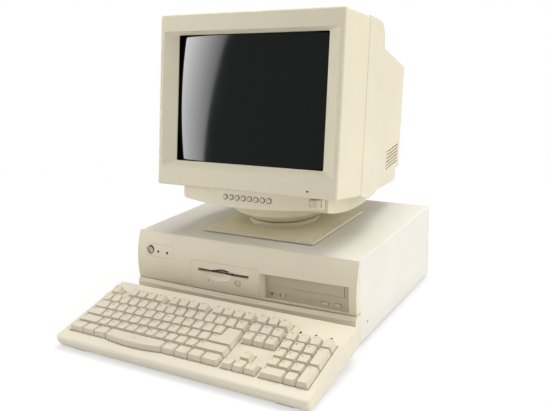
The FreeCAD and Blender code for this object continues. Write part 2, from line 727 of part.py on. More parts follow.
def power_supply():
    """Power unit: steel can with inlet, fan opening, guard and vents."""
    x0 = PSU_X - PSU_W / 2
    x1 = PSU_X + PSU_W / 2
    y1 = REAR
    y0 = y1 - PSU_D
    z0 = PAN_LOW + SHEET
    z1 = z0 + PSU_H
    can = hollow_can(x0, x1, y0, y1, z0, z1, SHEET)
    fx, fy, fz = fan_centre()
    hole = rod(PSU_FAN_R, V(fx, y1 - 3, fz), Y, 5)
    guard = [ring(r, r - 1.4, V(fx, y1 - 1.4, fz), Y, 1.4) for r in (13.0, 21.0, 29.0, 37.0)]
    guard += [box(fx - 0.9, fx + 0.9, y1 - 1.4, y1, fz - PSU_FAN_R - 0.5, fz + PSU_FAN_R + 0.5),
              box(fx - PSU_FAN_R - 0.5, fx + PSU_FAN_R + 0.5, y1 - 1.4, y1, fz - 0.9, fz + 0.9)]
    hub = rod(11.0, V(fx, y1 - 4.0, fz), Y, 4.0)
    pin = rod(2.0, V(fx, y1 - 4.0 - PSU_FAN_T, fz), Y, PSU_FAN_T)
    ix, iz = inlet_centre()
    socket = inlet(ix, y1, iz, 1.0)
    opening = box(ix - 13.5, ix + 13.5, y1 - 4, y1 + 1, iz - 10, iz + 10)
    vents = [box(x0 - 1, x0 + 2, y0 + 14 + 9 * i, y0 + 18 + 9 * i, z0 + 14, z1 - 14) for i in range(8)]
    can = can.cut(fuse([hole, opening] + vents))
    return can.fuse(guard + [hub, pin, socket]).removeSplitter()


def fan_centre():
    """Centre of the power unit's fan on the rear wall."""
    return PSU_X + PSU_W / 2 - PSU_FAN_R - 8, REAR, PAN_LOW + SHEET + PSU_H / 2


def inlet_centre():
    """Centre of the power unit's mains inlet."""
    return PSU_X - PSU_W / 2 + 26.0, PAN_LOW + SHEET + PSU_H / 2 + 14.0


def inlet(x, y, z, sense):
    """Three-pin mains inlet, C14 size: a cup with cut corners and flat pins.
    It faces +Y when sense is 1."""
    w, h, c = 13.5, 10.0, 4.5
    cup = box(x - w, x + w, y - 19.0, y, z - h, z + h)
    steps = [V(x - 12, y - 16.5, z + 8), V(x + 12, y - 16.5, z + 8), V(x + 12, y - 16.5, z - 8 + c),
             V(x + 12 - c, y - 16.5, z - 8), V(x - 12 + c, y - 16.5, z - 8), V(x - 12, y - 16.5, z - 8 + c)]
    mouth = outline(steps).extrude(V(0, 20, 0))
    pins = [box(px - 1, px + 1, y - 17, y - 7, pz - 2, pz + 2)
            for px, pz in ((x, z + 3), (x - 7, z - 1), (x + 7, z - 1))]
    return cup.cut(mouth).fuse(pins)


def psu_fan():
    """Seven-blade rotor that turns on the power unit's pin."""
    fx, y1, fz = fan_centre()
    back = y1 - 4.5 - PSU_FAN_T + 1.0
    hub = ring(12.0, 2.0 + RUNNING, V(fx, back, fz), Y, PSU_FAN_T - 2.0)
    blades = []
    for i in range(7):
        blade = box(9.0, PSU_FAN_R - 2.0, -0.8, 0.8, -6.5, 6.5)
        blade.rotate(V(0, 0, 0), X, 38)
        blade.rotate(V(0, 0, 0), Z, 360.0 * i / 7)
        blade.rotate(V(0, 0, 0), X, 90)
        blade.translate(V(fx, back + (PSU_FAN_T - 2.0) / 2, fz))
        blades.append(blade)
    return hub.fuse(blades).common(ring(PSU_FAN_R, 2.0 + RUNNING, V(fx, back, fz), Y, PSU_FAN_T - 2.0))


def main_board():
    """Main board with its sockets, chips and ports as one populated card."""
    x0 = BOARD_X - BOARD_W / 2
    x1 = BOARD_X + BOARD_W / 2
    y1 = REAR - 2.0
    y0 = y1 - BOARD_D
    card = box(x0, x1, y0, y1, BOARD_LOW, BOARD_TOP)
    t = BOARD_TOP
    blocks = []
    for sx0, sx1, z1 in port_spans():
        port = box(sx0 + 1, sx1 - 1, y1 - 14, CASE_D + 1.5, t, z1 - 1)
        blocks.append(port.cut(box(sx0 + 3.5, sx1 - 3.5, CASE_D - 1.5, CASE_D + 3, t + 3, z1 - 3.5)))
    blocks.append(box(RISER_X - 4, RISER_X + 4, y1 - RISER_REAR - RISER_D, y1 - RISER_REAR, t, t + 9))
    cx, cy = cpu_centre()
    blocks.append(box(cx - 26, cx + 26, cy - 26, cy + 26, t, t + 5))
    for i in range(2):
        sx = memory_x(i)
        blocks.append(box(sx - 4, sx + 4, y0 + 30, y0 + 140, t, t + 7))
    for i in range(3):
        blocks.append(box(x0 + 14 + 34 * i, x0 + 40 + 34 * i, y0 + 150, y0 + 176, t, t + 2.6))
    return fuse([card] + blocks)


def cpu_centre():
    """Centre of the processor socket."""
    return BOARD_X + BOARD_W / 2 - 36, REAR - 2.0 - BOARD_D + 143


def memory_x(i):
    """Middle of one memory socket."""
    return BOARD_X - BOARD_W / 2 + 60 + 14.0 * i


def heat_sink():
    """Processor with its finned heat sink."""
    cx, cy = cpu_centre()
    z = BOARD_TOP + 5
    base = box(cx - 24, cx + 24, cy - 24, cy + 24, z, z + 7)
    fins = [box(cx - 24 + 6.6 * i, cx - 22 + 6.6 * i, cy - 24, cy + 24, z + 7, z + 26) for i in range(8)]
    return fuse([base] + fins)


def memory_modules():
    """Two memory cards with their chips, upright in the sockets."""
    cards = []
    y0 = REAR - 2.0 - BOARD_D
    for i in range(2):
        x = memory_x(i)
        card = box(x - 0.6, x + 0.6, y0 + 31, y0 + 139, BOARD_TOP + 7, BOARD_TOP + 32)
        chips = [box(x + 0.6, x + 1.8, y0 + 35 + 13 * k, y0 + 44 + 13 * k, BOARD_TOP + 11, BOARD_TOP + 28)
                 for k in range(8)]
        cards.append(fuse([card] + chips))
    return group(cards)


def riser_card():
    """Upright card with a socket on its side for each expansion slot."""
    y1 = REAR - 2.0 - RISER_REAR
    z0 = BOARD_TOP + 9
    card = box(RISER_X - 0.8, RISER_X + 0.8, y1 - RISER_D, y1, z0, z0 + RISER_H - 9)
    sockets = [box(RISER_X - 9, RISER_X - 0.8, y1 - RISER_D + 8, y1 - 8,
                   slot_z(i) + 2, slot_z(i) + 10) for i in range(SLOT_COUNT)]
    top = z0 + RISER_H - 9
    return fuse([card] + [s for s in sockets if s.BoundBox.ZMax < top])


def hard_disk():
    """Hard disk: cast body with a stepped lid and a board underneath."""
    x0, x1, y0, z0 = disk_corner()
    body = box(x0, x1, y0, y0 + DISK_D, z0 + 2, z0 + DISK_H - 3)
    lid = box(x0 + 3, x1 - 3, y0 + 3, y0 + DISK_D - 12, z0 + DISK_H - 3, z0 + DISK_H)
    board = box(x0 + 4, x1 - 4, y0 + 6, y0 + DISK_D - 1, z0, z0 + 2)
    return fuse([body, lid, board])


def disk_corner():
    """Left, right, front and lower side of the hard disk."""
    z0 = FLOPPY_BASE - DISK_H - 6.0
    return FLOPPY_X - DISK_W / 2, FLOPPY_X + DISK_W / 2, 12.0, z0


def drive_cage():
    """Folded steel cage that carries the three drives on side rails."""
    s = SHEET
    x0 = FLOPPY_X - FLOPPY_W / 2 - FIT
    x1 = FLOPPY_X + FLOPPY_W / 2 + FIT
    cx0 = CD_X - CD_BODY_W / 2 - FIT
    cx1 = CD_X + CD_BODY_W / 2 + FIT
    y0, y1 = SHEET, 150.0
    z0 = disk_corner()[3]
    top = FLOPPY_TOP
    leg_y = REAR - 2.0 - BOARD_D - 6.0
    left = box(x0 - s, x0, y0, y1, z0 - s, top).fuse(box(x0 - s, x0, y0, leg_y, PAN_LOW + s, z0))
    right = box(x1, x1 + s, y0, y1, z0 - s, top).fuse(box(x1, x1 + s, y0, leg_y, PAN_LOW + s, z0))
    shelf = box(x0 - s, cx1 + s, y0, y1, z0 - s, z0)
    shelf = shelf.common(box(x0 - s, x1 + s, y0, y1, 0, top))
    cd_shelf = box(x1, cx1 + s, y0, y1, CD_LOW_Z + FIT - s, CD_LOW_Z + FIT)
    cd_wall = box(cx0 - s, cx0, y0, y1, CD_LOW_Z + FIT - s, BAY_TOP)
    cd_right = box(cx1, cx1 + s, y0, y1, PAN_LOW + s, BAY_TOP)
    strip = box(x0 - s, x1 + s, y0, y1, FLOPPY_BASE - s, FLOPPY_BASE)
    strip = strip.cut(box(x0 + 12, x1 - 12, y0 + 12, y1 - 12, 0, CASE_TOP))
    return fuse([left, right, shelf, cd_shelf, cd_wall, cd_right, strip])


def case_speaker():
    """Small loudspeaker: basket and cone on the inside of the front wall."""
    x, z = -HALF + 62.0, 52.0
    cup = Part.makeCone(28.0, 15.0, 14.0, V(x, SHEET, z), Y)
    cone = Part.makeCone(25.0, 10.0, 12.0, V(x, SHEET - 0.01, z), Y)
    magnet = rod(14.0, V(x, SHEET + 14, z), Y, 9)
    return cup.cut(cone).fuse(magnet)


def drive_cables():
    """Flat ribbon leads from the board to the two lower drives, folded at
    right angles and held at both ends."""
    bands = []
    t = 1.0
    x = FLOPPY_X + 4.0
    y0 = FLOPPY_D - 4.0
    z0 = FLOPPY_BASE + 6.0
    run = REAR - 2.0 - BOARD_D + 190.0
    drop = box(x - 20, x + 20, run, run + t, BOARD_TOP, z0 + t)
    level = box(x - 20, x + 20, y0, run + t, z0, z0 + t)
    bands.append(level.fuse(drop))
    dx0, dx1, dy, dz = disk_corner()
    back = dy + DISK_D
    low = box(x - 20, x + 24, back, run - 12, dz + 8, dz + 8 + t)
    fall = box(x - 20, x + 24, run - 12 - t, run - 12, BOARD_TOP, dz + 8 + t)
    bands.append(low.fuse(fall))
    return group(bands)


def build_system_unit():
    """All pieces of the system unit, in place."""
    PARTS["case_pan"] = case_pan()
    PARTS["case_cover"] = case_cover()
    PARTS["front_bezel"] = front_bezel()
    PARTS["power_button"] = power_button()
    PARTS["case_lights"] = case_lights()
    PARTS["case_feet"] = case_feet()
    PARTS["cover_screws"] = cover_screws()
    PARTS["slot_covers"] = slot_covers()
    PARTS["floppy_drive"] = floppy_drive()
    PARTS["floppy_eject_button"] = floppy_eject()
    PARTS["cd_drive"] = cd_drive()
    PARTS["cd_tray"] = cd_tray()
    PARTS["cd_play_button"] = cd_key(3)
    PARTS["cd_eject_button"] = cd_key(4)
    PARTS["cd_volume_wheel"] = cd_wheel()
    PARTS["power_supply"] = power_supply()
    PARTS["power_supply_fan"] = psu_fan()
    PARTS["main_board"] = main_board()
    PARTS["processor_heat_sink"] = heat_sink()
    PARTS["memory_modules"] = memory_modules()
    PARTS["riser_card"] = riser_card()
    PARTS["hard_disk"] = hard_disk()
    PARTS["drive_cage"] = drive_cage()
    PARTS["case_speaker"] = case_speaker()
    PARTS["drive_cables"] = drive_cables()


# The monitor is modelled upright: x across, y back from its front face, z up
# from its lower edge. lean() sets it on the stand.
CASE_DECK = CASE_TOP + PAD_H
BOWL_SEAT_Z = CASE_TOP + RING_TOP
BOWL_Z = BOWL_SEAT_Z + math.sqrt(BOWL_R ** 2 - RING_R ** 2)


def lean(shape):
    """Turn an upright monitor piece back about the bowl's centre, onto the stand."""
    shape = shape.copy()
    shape.translate(V(MON_X, PLATE_Y - BOWL_CENTRE_BACK, BOWL_Z - BOWL_CENTRE_UP))
    shape.rotate(V(MON_X, PLATE_Y, BOWL_Z), X, -MON_TILT)
    return shape


def frame_ring(x_out, low, high, x_in, low_in, high_in, y0, y1):
    """Sloping picture-frame cut from an outer to an inner rectangle."""
    outer = round_rect(-x_out, x_out, low, high, 3.0, y0)
    inner = round_rect(-x_in, x_in, low_in, high_in, 3.0, y1)
    return loft([outer, inner])


def monitor_bezel():
    """Front moulding: frame with sloping reveals, side walls back to the seam
    and the control strip under the screen."""
    w = MON_WALL
    h = MON_W / 2
    body = box(-h, h, 0, MON_SEAM, 0, MON_H)
    body = rounded(body, MON_EDGE_R, lambda m, d: m.y < MON_SEAM - 1 and (abs(d.y) > 0.9 or m.y < 0.1))
    room = box(-h + w, h - w, BEVEL_DEEP + LIP_WALL, MON_SEAM + 1, w, MON_H - w)
    body = body.cut(room)
    strip = control_strip().common(box(-h, h, -5, MON_SEAM, -60, 1.0))
    body = body.fuse(strip)
    inside = strip_room()
    body = body.cut(inside)
    reveal = frame_ring(BEVEL_X, BEVEL_LOW, BEVEL_HIGH, GLASS_X, GLASS_LOW, GLASS_HIGH, 0, BEVEL_DEEP)
    front = frame_ring(BEVEL_X, BEVEL_LOW, BEVEL_HIGH, BEVEL_X, BEVEL_LOW, BEVEL_HIGH, -1, 0)
    hole = box(-GLASS_X, GLASS_X, BEVEL_DEEP - 0.01, BEVEL_DEEP + w + 1, GLASS_LOW, GLASS_HIGH)
    bosses = [boss.common(box(-h, h, BEVEL_DEEP, MON_SEAM, 0, MON_H)) for boss in tube_bosses()]
    body = body.cut(fuse([reveal, front, hole])).fuse(bosses)
    cuts = [rod(KNOB_R + GUIDE / 2, V(x, -20, KNOB_Z), Y, 60) for x in knob_xs()]
    cuts.append(switch_hole())
    cuts.append(rod(CASE_LIGHT_R + 0.05, V(MON_LIGHT_X, -5, MON_LIGHT_Z), Y, 40))
    return body.cut(fuse(cuts)).removeSplitter()


def control_strip():
    """Bowed strip and the housing behind it, as one solid to the rear end."""
    front_y = STRIP_FRONT
    end_y = STRIP_FRONT + STRIP_BOW
    corner = 14.0
    plan = [(-HOUSING_X, HOUSING_Y), (-STRIP_X - corner, HOUSING_Y), (-STRIP_X - corner, end_y + corner),
            (-STRIP_X, end_y), ((0, front_y), (STRIP_X, end_y)), (STRIP_X + corner, end_y + corner),
            (STRIP_X + corner, HOUSING_Y), (HOUSING_X, HOUSING_Y), (HOUSING_X, HOUSING_END),
            (-HOUSING_X, HOUSING_END)]
    prism = plan_bar(plan, -60, 1.0)
    face = [V(-HOUSING_X, -5, 1.0), V(-HOUSING_X, -5, STRIP_END_LOW + 1),
            (V(0, -5, STRIP_LOW), V(HOUSING_X, -5, STRIP_END_LOW + 1)), V(HOUSING_X, -5, 1.0)]
    front = outline(face).extrude(V(0, HOUSING_Y + 5, 0))
    mid = 0.5 * (HOUSING_Y + HOUSING_END)
    belly = side_bar([(HOUSING_Y - 0.01, 1.0), (HOUSING_Y - 0.01, STRIP_LOW + 2),
                      ((mid - 20, HOUSING_LOW - 1.0), (HOUSING_END, HOUSING_LOW + 10)),
                      (HOUSING_END, 1.0)], -HOUSING_X, HOUSING_X)
    return prism.common(front.fuse(belly))


def strip_room():
    """Hollow inside the control strip and its housing."""
    w = MON_WALL
    plan = [(-HOUSING_X + w, HOUSING_Y + w), (-STRIP_X, HOUSING_Y - 8), (-STRIP_X, STRIP_FRONT + STRIP_BOW + w),
            ((0, STRIP_FRONT + w), (STRIP_X, STRIP_FRONT + STRIP_BOW + w)),
            (STRIP_X, HOUSING_Y - 8), (HOUSING_X - w, HOUSING_Y + w), (HOUSING_X - w, HOUSING_END - w),
            (-HOUSING_X + w, HOUSING_END - w)]
    prism = plan_bar(plan, STRIP_END_LOW + w, 0)
    open_back = box(-HOUSING_X + w, HOUSING_X - w, MON_SEAM - 12, HOUSING_END - w, -1, w + 1)
    return prism.fuse(open_back)


def knob_xs():
    """Middles of the push buttons in the control strip."""
    return [KNOB_X + KNOB_PITCH * i for i in range(KNOB_COUNT)]


def knob_y(x):
    """Front of the control strip at an x, on its bowed face."""
    return STRIP_FRONT + STRIP_BOW * (x / STRIP_X) ** 2


def switch_hole():
    """Opening for the monitor's power button at the strip's right corner."""
    w = MON_SWITCH_W / 2 + GUIDE
    h = MON_SWITCH_H / 2 + GUIDE
    return box(MON_SWITCH_X - w, MON_SWITCH_X + w, -5, HOUSING_Y + MON_WALL + 1, MON_SWITCH_Z - h, MON_SWITCH_Z + h)


def monitor_switch():
    """Power push button of the monitor."""
    w = MON_SWITCH_W / 2
    h = MON_SWITCH_H / 2
    face = knob_y(STRIP_X) - 1.0
    cap = box(MON_SWITCH_X - w, MON_SWITCH_X + w, face, face + 14, MON_SWITCH_Z - h, MON_SWITCH_Z + h)
    cap = cap.makeChamfer(1.2, [e for e in cap.Edges if edge_facts(e)[0].y < face + 0.01])
    return cap.fuse(box(MON_SWITCH_X - 3, MON_SWITCH_X + 3, face + 14, face + 38, MON_SWITCH_Z - 3, MON_SWITCH_Z + 3))


def control_buttons():
    """Row of round push buttons, each with a flange behind the wall."""
    buttons = []
    for x in knob_xs():
        face = knob_y(x) - 1.4
        pin = rod(KNOB_R, V(x, face, KNOB_Z), Y, 1.4 + MON_WALL + KNOB_TRAVEL + 2.0)
        buttons.append(pin)
    return group(buttons)


def tube_bosses():
    """Four posts inside the bezel that carry the tube's ears."""
    return [rod(6.0, V(x, BEVEL_DEEP, z), Y, TUBE_PANEL_Y - BEVEL_DEEP - 16.0) for x, z in ear_places()]


def ear_places():
    """Screw places of the tube's four ears."""
    x = TUBE_X + 6.0
    return [(-x, TUBE_LOW - 7.0), (x, TUBE_LOW - 7.0), (-x, TUBE_HIGH + 7.0), (x, TUBE_HIGH + 7.0)]


def shell_profile(inset):
    """Side outline of the rear cover, (y, z), inset by a wall."""
    i = inset
    y0 = MON_SEAM
    top = MON_H - i
    ys = SHOULDER_Y - i
    r = SHOULDER_R - i
    c = math.sqrt(0.5)
    return [(y0, i), (y0, top), (ys - r, top), ((ys - r * (1 - c), top - r * (1 - c) * 0.75), (ys, TAIL_TOP_FRONT - i)),
            (TAIL_Y - i, TAIL_TOP_REAR - i), (TAIL_Y - i, TAIL_NOTCH_Z + i), (TAIL_NOTCH_Y - i, TAIL_NOTCH_Z - 5 + i),
            (TAIL_NOTCH_Y - i, TAIL_LOW_REAR + i), (SHOULDER_Y, 3.0 + i), (MON_SEAM + 40, TAIL_LOW_FRONT + i)]


def shell_plan(inset):
    """Plan outline of the rear cover, (x, y), inset by a wall."""
    h = MON_W / 2 - inset
    s = SHOULDER_X - inset
    t = TAIL_X - inset
    ym = 0.5 * (MON_SEAM + SHOULDER_Y)
    bulge = 0.72 * h + 0.28 * s
    return [(-h, MON_SEAM), (h, MON_SEAM), ((bulge, ym), (s, SHOULDER_Y - inset)), (t, TAIL_Y - inset),
            (-t, TAIL_Y - inset), (-s, SHOULDER_Y - inset), ((-bulge, ym), (-h, MON_SEAM))]


def shell_solid(inset):
    """Rear cover's outer form, or its hollow when inset by the wall."""
    across = MON_W
    side = side_bar(shell_profile(inset), -across, across)
    return side.common(plan_bar(shell_plan(inset), -80, MON_H + 80))


def rear_cover():
    """Rear moulding: rounded shoulder, tapering tail with vents, lower housing."""
    w = MON_WALL
    solid = shell_solid(0.0)
    solid = solid.fuse(control_strip().common(box(-MON_W, MON_W, MON_SEAM, HOUSING_END, -60, 2.0)))
    room = shell_solid(w).fuse(box(-MON_W / 2 + w, MON_W / 2 - w, MON_SEAM - 1, MON_SEAM + 2, w, MON_H - w))
    low_room = strip_room().common(box(-MON_W, MON_W, MON_SEAM - 1, HOUSING_END, -60, 8.0))
    solid = solid.cut(room).cut(low_room)
    rails = [box(x - 2, x + 2, MON_SEAM + 12, 300, TAIL_LOW_FRONT + 1, CHASSIS_Z) for x in (-100, 100)]
    inlet_cup = inlet(0, 0, 0, 1.0)
    inlet_cup.translate(V(-60, TAIL_Y, 80))
    seat = box(-60 - 13.4, -60 + 13.4, TAIL_Y - w - 1, TAIL_Y + 1, 80 - 9.9, 80 + 9.9)
    gland = rod(5.0, V(40, TAIL_Y - w - 1, 80), Y, w + 2)
    solid = solid.fuse([rail.common(shell_solid(w * 0.5)) for rail in rails])
    return solid.cut(fuse(vents() + [seat, gland])).fuse(inlet_cup).removeSplitter()


CHASSIS_Z = 14.0


def vents():
    """Slots through both flanks of the tail and a row through its top."""
    slots = []
    for i in range(VENT_COUNT):
        z = VENT_Z + VENT_PITCH * i
        bar = box(-MON_W, MON_W, VENT_Y[0], VENT_Y[1], z, z + VENT_H)
        bar.rotate(V(0, VENT_Y[0], z), X, VENT_RISE)
        slots.append(bar.common(box(-MON_W, MON_W, VENT_Y[0], VENT_Y[1], 0, MON_H)))
    for i in range(9):
        x = -88 + 22.0 * i
        slots.append(box(x - 7, x + 7, 240, 243.5, 200, MON_H))
        slots.append(box(x - 7, x + 7, 255, 258.5, 200, MON_H))
    return slots


def circle_wire(radius, y, z):
    """Circle as eight arcs that match a rounded rectangle's edges."""
    c = math.sqrt(0.5)
    a = math.radians(22.5)
    angles = [-90 - 22.5, -90 + 22.5, -22.5, 22.5, 90 - 22.5, 90 + 22.5, 180 - 22.5, 180 + 22.5]
    edges = []
    for i in range(8):
        a0 = math.radians(angles[i])
        a1 = math.radians(angles[(i + 1) % 8])
        if a1 < a0:
            a1 += 2 * math.pi
        am = 0.5 * (a0 + a1)
        p = [V(radius * math.cos(t), y, z + radius * math.sin(t)) for t in (a0, am, a1)]
        edges.append(Part.Arc(p[0], p[1], p[2]).toShape())
    return Part.Wire(edges)


def tube_body(inset):
    """Glass envelope from the panel to the neck, inset for the hollow."""
    i = inset
    zc = 0.5 * (TUBE_LOW + TUBE_HIGH)
    x, low, high = TUBE_X - i, TUBE_LOW + i, TUBE_HIGH - i
    panel = loft([round_rect(-x, x, low, high, 22 - i, TUBE_EDGE_Y + 2.0 * i),
                  round_rect(-x, x, low, high, 22 - i, TUBE_PANEL_Y)])
    k = 0.62
    middle = round_rect(-x * k, x * k, zc - (zc - low) * k, zc + (high - zc) * k, 40 - i,
                        TUBE_PANEL_Y + 62)
    funnel = loft([round_rect(-x, x, low, high, 22 - i, TUBE_PANEL_Y), middle])
    throat = loft([middle, circle_wire(TUBE_NECK_R + 12 - i * 0.4, TUBE_NECK_Y - 28, zc)])
    cone = Part.makeCone(TUBE_NECK_R + 12 - i * 0.4, TUBE_NECK_R - min(i, 1.6), 28, V(0, TUBE_NECK_Y - 28, zc), Y)
    neck = rod(TUBE_NECK_R - min(i, 1.6), V(0, TUBE_NECK_Y, zc), Y, TUBE_END_Y - TUBE_NECK_Y - 2 * i)
    return panel.fuse([funnel, throat, cone, neck])


def picture_tube():
    """Cathode-ray tube: curved face, funnel, neck, steel band and four ears."""
    zc = 0.5 * (TUBE_LOW + TUBE_HIGH)
    body = tube_body(0.0)
    dome = Part.makeSphere(TUBE_FACE_R, V(0, 0, 0))
    half_diagonal = math.hypot(GLASS_X, 0.5 * (GLASS_HIGH - GLASS_LOW))
    crown = half_diagonal ** 2 / (2 * TUBE_FACE_R)
    cy = TUBE_EDGE_Y - crown + TUBE_FACE_R
    dome.translate(V(0, cy, zc))
    front = loft([round_rect(-TUBE_X, TUBE_X, TUBE_LOW, TUBE_HIGH, 22, TUBE_EDGE_Y - crown - 2),
                  round_rect(-TUBE_X, TUBE_X, TUBE_LOW, TUBE_HIGH, 22, TUBE_EDGE_Y)])
    face = front.common(dome)
    body = body.fuse(face).cut(tube_body(TUBE_GLASS))
    ears = []
    for x, z in ear_places():
        sx = 1 if x > 0 else -1
        sz = 1 if z > zc else -1
        x0, x1 = sorted((x + 5 * sx, x - 22 * sx))
        z0, z1 = sorted((z + 5 * sz, z - 22 * sz))
        ears.append(box(x0, x1, TUBE_PANEL_Y - 16, TUBE_PANEL_Y - 14.4, z0, z1)
                    .cut(rod(2.4, V(x, 0, z), Y, 100)))
    ears = [ear.cut(tube_body(0.5)) for ear in ears]
    return body.fuse(ears)


def tube_screws():
    """Hexagon screws that hold the tube's ears to the bezel's posts."""
    heads = []
    for x, z in ear_places():
        points = [V(x + 4.6 * math.cos(math.pi * k / 3), TUBE_PANEL_Y - 14.4, z + 4.6 * math.sin(math.pi * k / 3))
                  for k in range(6)]
        heads.append(outline(points).extrude(V(0, 3.6, 0)))
    return group(heads)


def deflection_yoke():
    """Flared coil former with its ferrite ring, clamped on the neck."""
    zc = 0.5 * (TUBE_LOW + TUBE_HIGH)
    y1 = TUBE_NECK_Y
    flare = Part.makeCone(52.0, 30.0, 34, V(0, y1 - 30, zc), Y)
    collar = rod(24.0, V(0, y1 + 4, zc), Y, 34)
    clamp = box(-5, 5, y1 + 26, y1 + 36, zc + 16, zc + 34)
    bore = rod(TUBE_NECK_R + FIT, V(0, y1 - 60, zc), Y, 120)
    horn = Part.makeCone(TUBE_NECK_R + 12 + 10 + FIT, TUBE_NECK_R + FIT, 40, V(0, y1 - 40, zc), Y)
    return fuse([flare, collar, clamp]).cut(fuse([bore, horn]))


def neck_board():
    """Small board with the tube's socket on the end of the neck."""
    zc = 0.5 * (TUBE_LOW + TUBE_HIGH)
    card = box(-36, 36, TUBE_END_Y - 10, TUBE_END_Y - 8.4, zc - 34, zc + 34)
    card = card.cut(rod(TUBE_NECK_R + FIT, V(0, TUBE_END_Y - 12, zc), Y, 10))
    cup = rod(18, V(0, TUBE_END_Y - 8.4, zc), Y, 14)
    cup = cup.cut(rod(TUBE_NECK_R + FIT, V(0, TUBE_END_Y - 10, zc), Y, 10 + FIT))
    return card.fuse(cup)


def monitor_board():
    """Deflection and supply board with its larger parts."""
    z = CHASSIS_Z
    card = box(-112, 112, MON_SEAM + 14, 300, z, z + 1.6)
    t = z + 1.6
    flyback = rod(19, V(78, 252, t), Z, 52).fuse(box(62, 112, 236, 284, t, t + 12))
    chopper = box(-104, -60, 220, 262, t, t + 30)
    fins = [box(-40 + 10 * i, -37 + 10 * i, 258, 298, t, t + 34) for i in range(5)]
    cans = [rod(r, V(x, y, t), Z, h) for x, y, r, h in
            ((-84, 190, 12, 32), (-84, 160, 9, 24), (40, 150, 8, 22), (60, 176, 8, 22))]
    return fuse([card, flyback, chopper, box(-40, 3, 292, 298, t, t + 8)] + fins + cans)


def cap_shell(radius, thick, top_r, low_r=0.0):
    """Bowl cut from a hollow ball about the bowl's centre, between two rims."""
    centre = V(MON_X, PLATE_Y, BOWL_Z)
    top = BOWL_Z - math.sqrt(radius ** 2 - top_r ** 2)
    ball = Part.makeSphere(radius, centre).cut(Part.makeSphere(radius - thick, centre))
    keep = rod(top_r + 1.0, V(MON_X, PLATE_Y, 0), Z, top)
    shell = ball.common(keep)
    return shell.cut(rod(low_r, V(MON_X, PLATE_Y, 0), Z, BOWL_Z)) if low_r else shell


def tilt_bowl():
    """Bowl under the monitor, with its slot and the collar that meets the housing."""
    shell = cap_shell(BOWL_R, BOWL_T, BOWL_TOP_R)
    reach = SLIDE_KEY_Y + 1.0
    back = PLATE_Y + reach + BOWL_R * math.radians(TILT_BACK)
    front = PLATE_Y - reach - BOWL_R * math.radians(TILT_FORWARD)
    slot = box(MON_X - SLOT_HALF, MON_X + SLOT_HALF, front, back, 0, BOWL_Z - BOWL_R + 30)
    top = BOWL_Z - math.sqrt(BOWL_R ** 2 - BOWL_TOP_R ** 2)
    collar = ring(BOWL_TOP_R, BOWL_TOP_R - 4.0, V(MON_X, PLATE_Y, top - 1.0), Z, 60)
    body = shell.cut(slot).fuse(collar)
    return body.cut(lean(housing_fill()))


def housing_fill():
    """Space of the monitor's housing, to trim the bowl's collar by."""
    mid = 0.5 * (HOUSING_Y + HOUSING_END)
    belly = side_bar([(-40, 80), (-40, STRIP_LOW + 2), (HOUSING_Y - 0.01, STRIP_LOW + 2),
                      ((mid - 20, HOUSING_LOW - 1.0), (HOUSING_END, HOUSING_LOW + 10)),
                      (300, HOUSING_LOW + 22), (300, 80)], -MON_W, MON_W)
    return belly


def swivel_base():
    """Base plate with a shallow rise, the dished seat, ring and hooked post."""
    z0 = CASE_DECK
    x0, x1 = MON_X - PLATE_W / 2, MON_X + PLATE_W / 2
    y0, y1 = PLATE_Y - PLATE_D / 2, PLATE_Y + PLATE_D / 2
    slab = box(x0, x1, y0, y1, z0, z0 + PLATE_EDGE_H)
    slab = rounded(slab, 5.0, lambda m, d: abs(d.z) > 0.9)
    rise = loft([flat_rect(x0 + 8, x1 - 8, y0 + 8, y1 - 8, z0 + PLATE_EDGE_H),
                 flat_rect(MON_X - 66, MON_X + 66, PLATE_Y - 66, PLATE_Y + 66, z0 + PLATE_EDGE_H + PLATE_RISE)])
    wall = rod(RING_R + RING_T, V(MON_X, PLATE_Y, z0), Z, BOWL_SEAT_Z - z0)
    body = fuse([slab, rise, wall])
    dish = Part.makeSphere(BOWL_R + SEAT_GAP, V(MON_X, PLATE_Y, BOWL_Z))
    body = body.cut(dish)
    under = box(x0 + 4, x1 - 4, y0 + 4, y1 - 4, z0 - 1, z0 + PLATE_EDGE_H - 2.2)
    keep = rod(RING_R + RING_T, V(MON_X, PLATE_Y, z0 - 1), Z, 20)
    ribs = [box(MON_X - 1, MON_X + 1, y0, y1, z0 - 1, z0 + 10), box(x0, x1, PLATE_Y - 1, PLATE_Y + 1, z0 - 1, z0 + 10)]
    pads = [rod(8.5, V(x, y, z0 - 1), Z, 20) for x, y in pad_places()]
    body = body.cut(under.cut(fuse([keep] + ribs + pads)))
    top = BOWL_Z - BOWL_R + 2 * BOWL_T + 2.4
    post = rod(POST_R, V(MON_X, PLATE_Y, z0), Z, top - z0 + 3.0)
    head = Part.makeCone(POST_R + 3.0, POST_R, 3.0, V(MON_X, PLATE_Y, top), Z)
    split = box(MON_X - 1.2, MON_X + 1.2, PLATE_Y - 20, PLATE_Y + 20, top - 8, top + 9)
    return body.fuse([post, head]).cut(split).removeSplitter()


def flat_rect(x0, x1, y0, y1, z):
    """Level rectangle as a wire."""
    return outline([V(x0, y0, z), V(x1, y0, z), V(x1, y1, z), V(x0, y1, z)]).OuterWire


def pad_places():
    """Places of the four pads under the base plate."""
    dx, dy = PLATE_W / 2 - 16, PLATE_D / 2 - 16
    return [(MON_X + sx * dx, PLATE_Y + sy * dy) for sx in (-1, 1) for sy in (-1, 1)]


def base_pads():
    """Four rubber pads between the base plate and the case."""
    return group([rod(7.0, V(x, y, CASE_TOP), Z, PAD_H) for x, y in pad_places()])


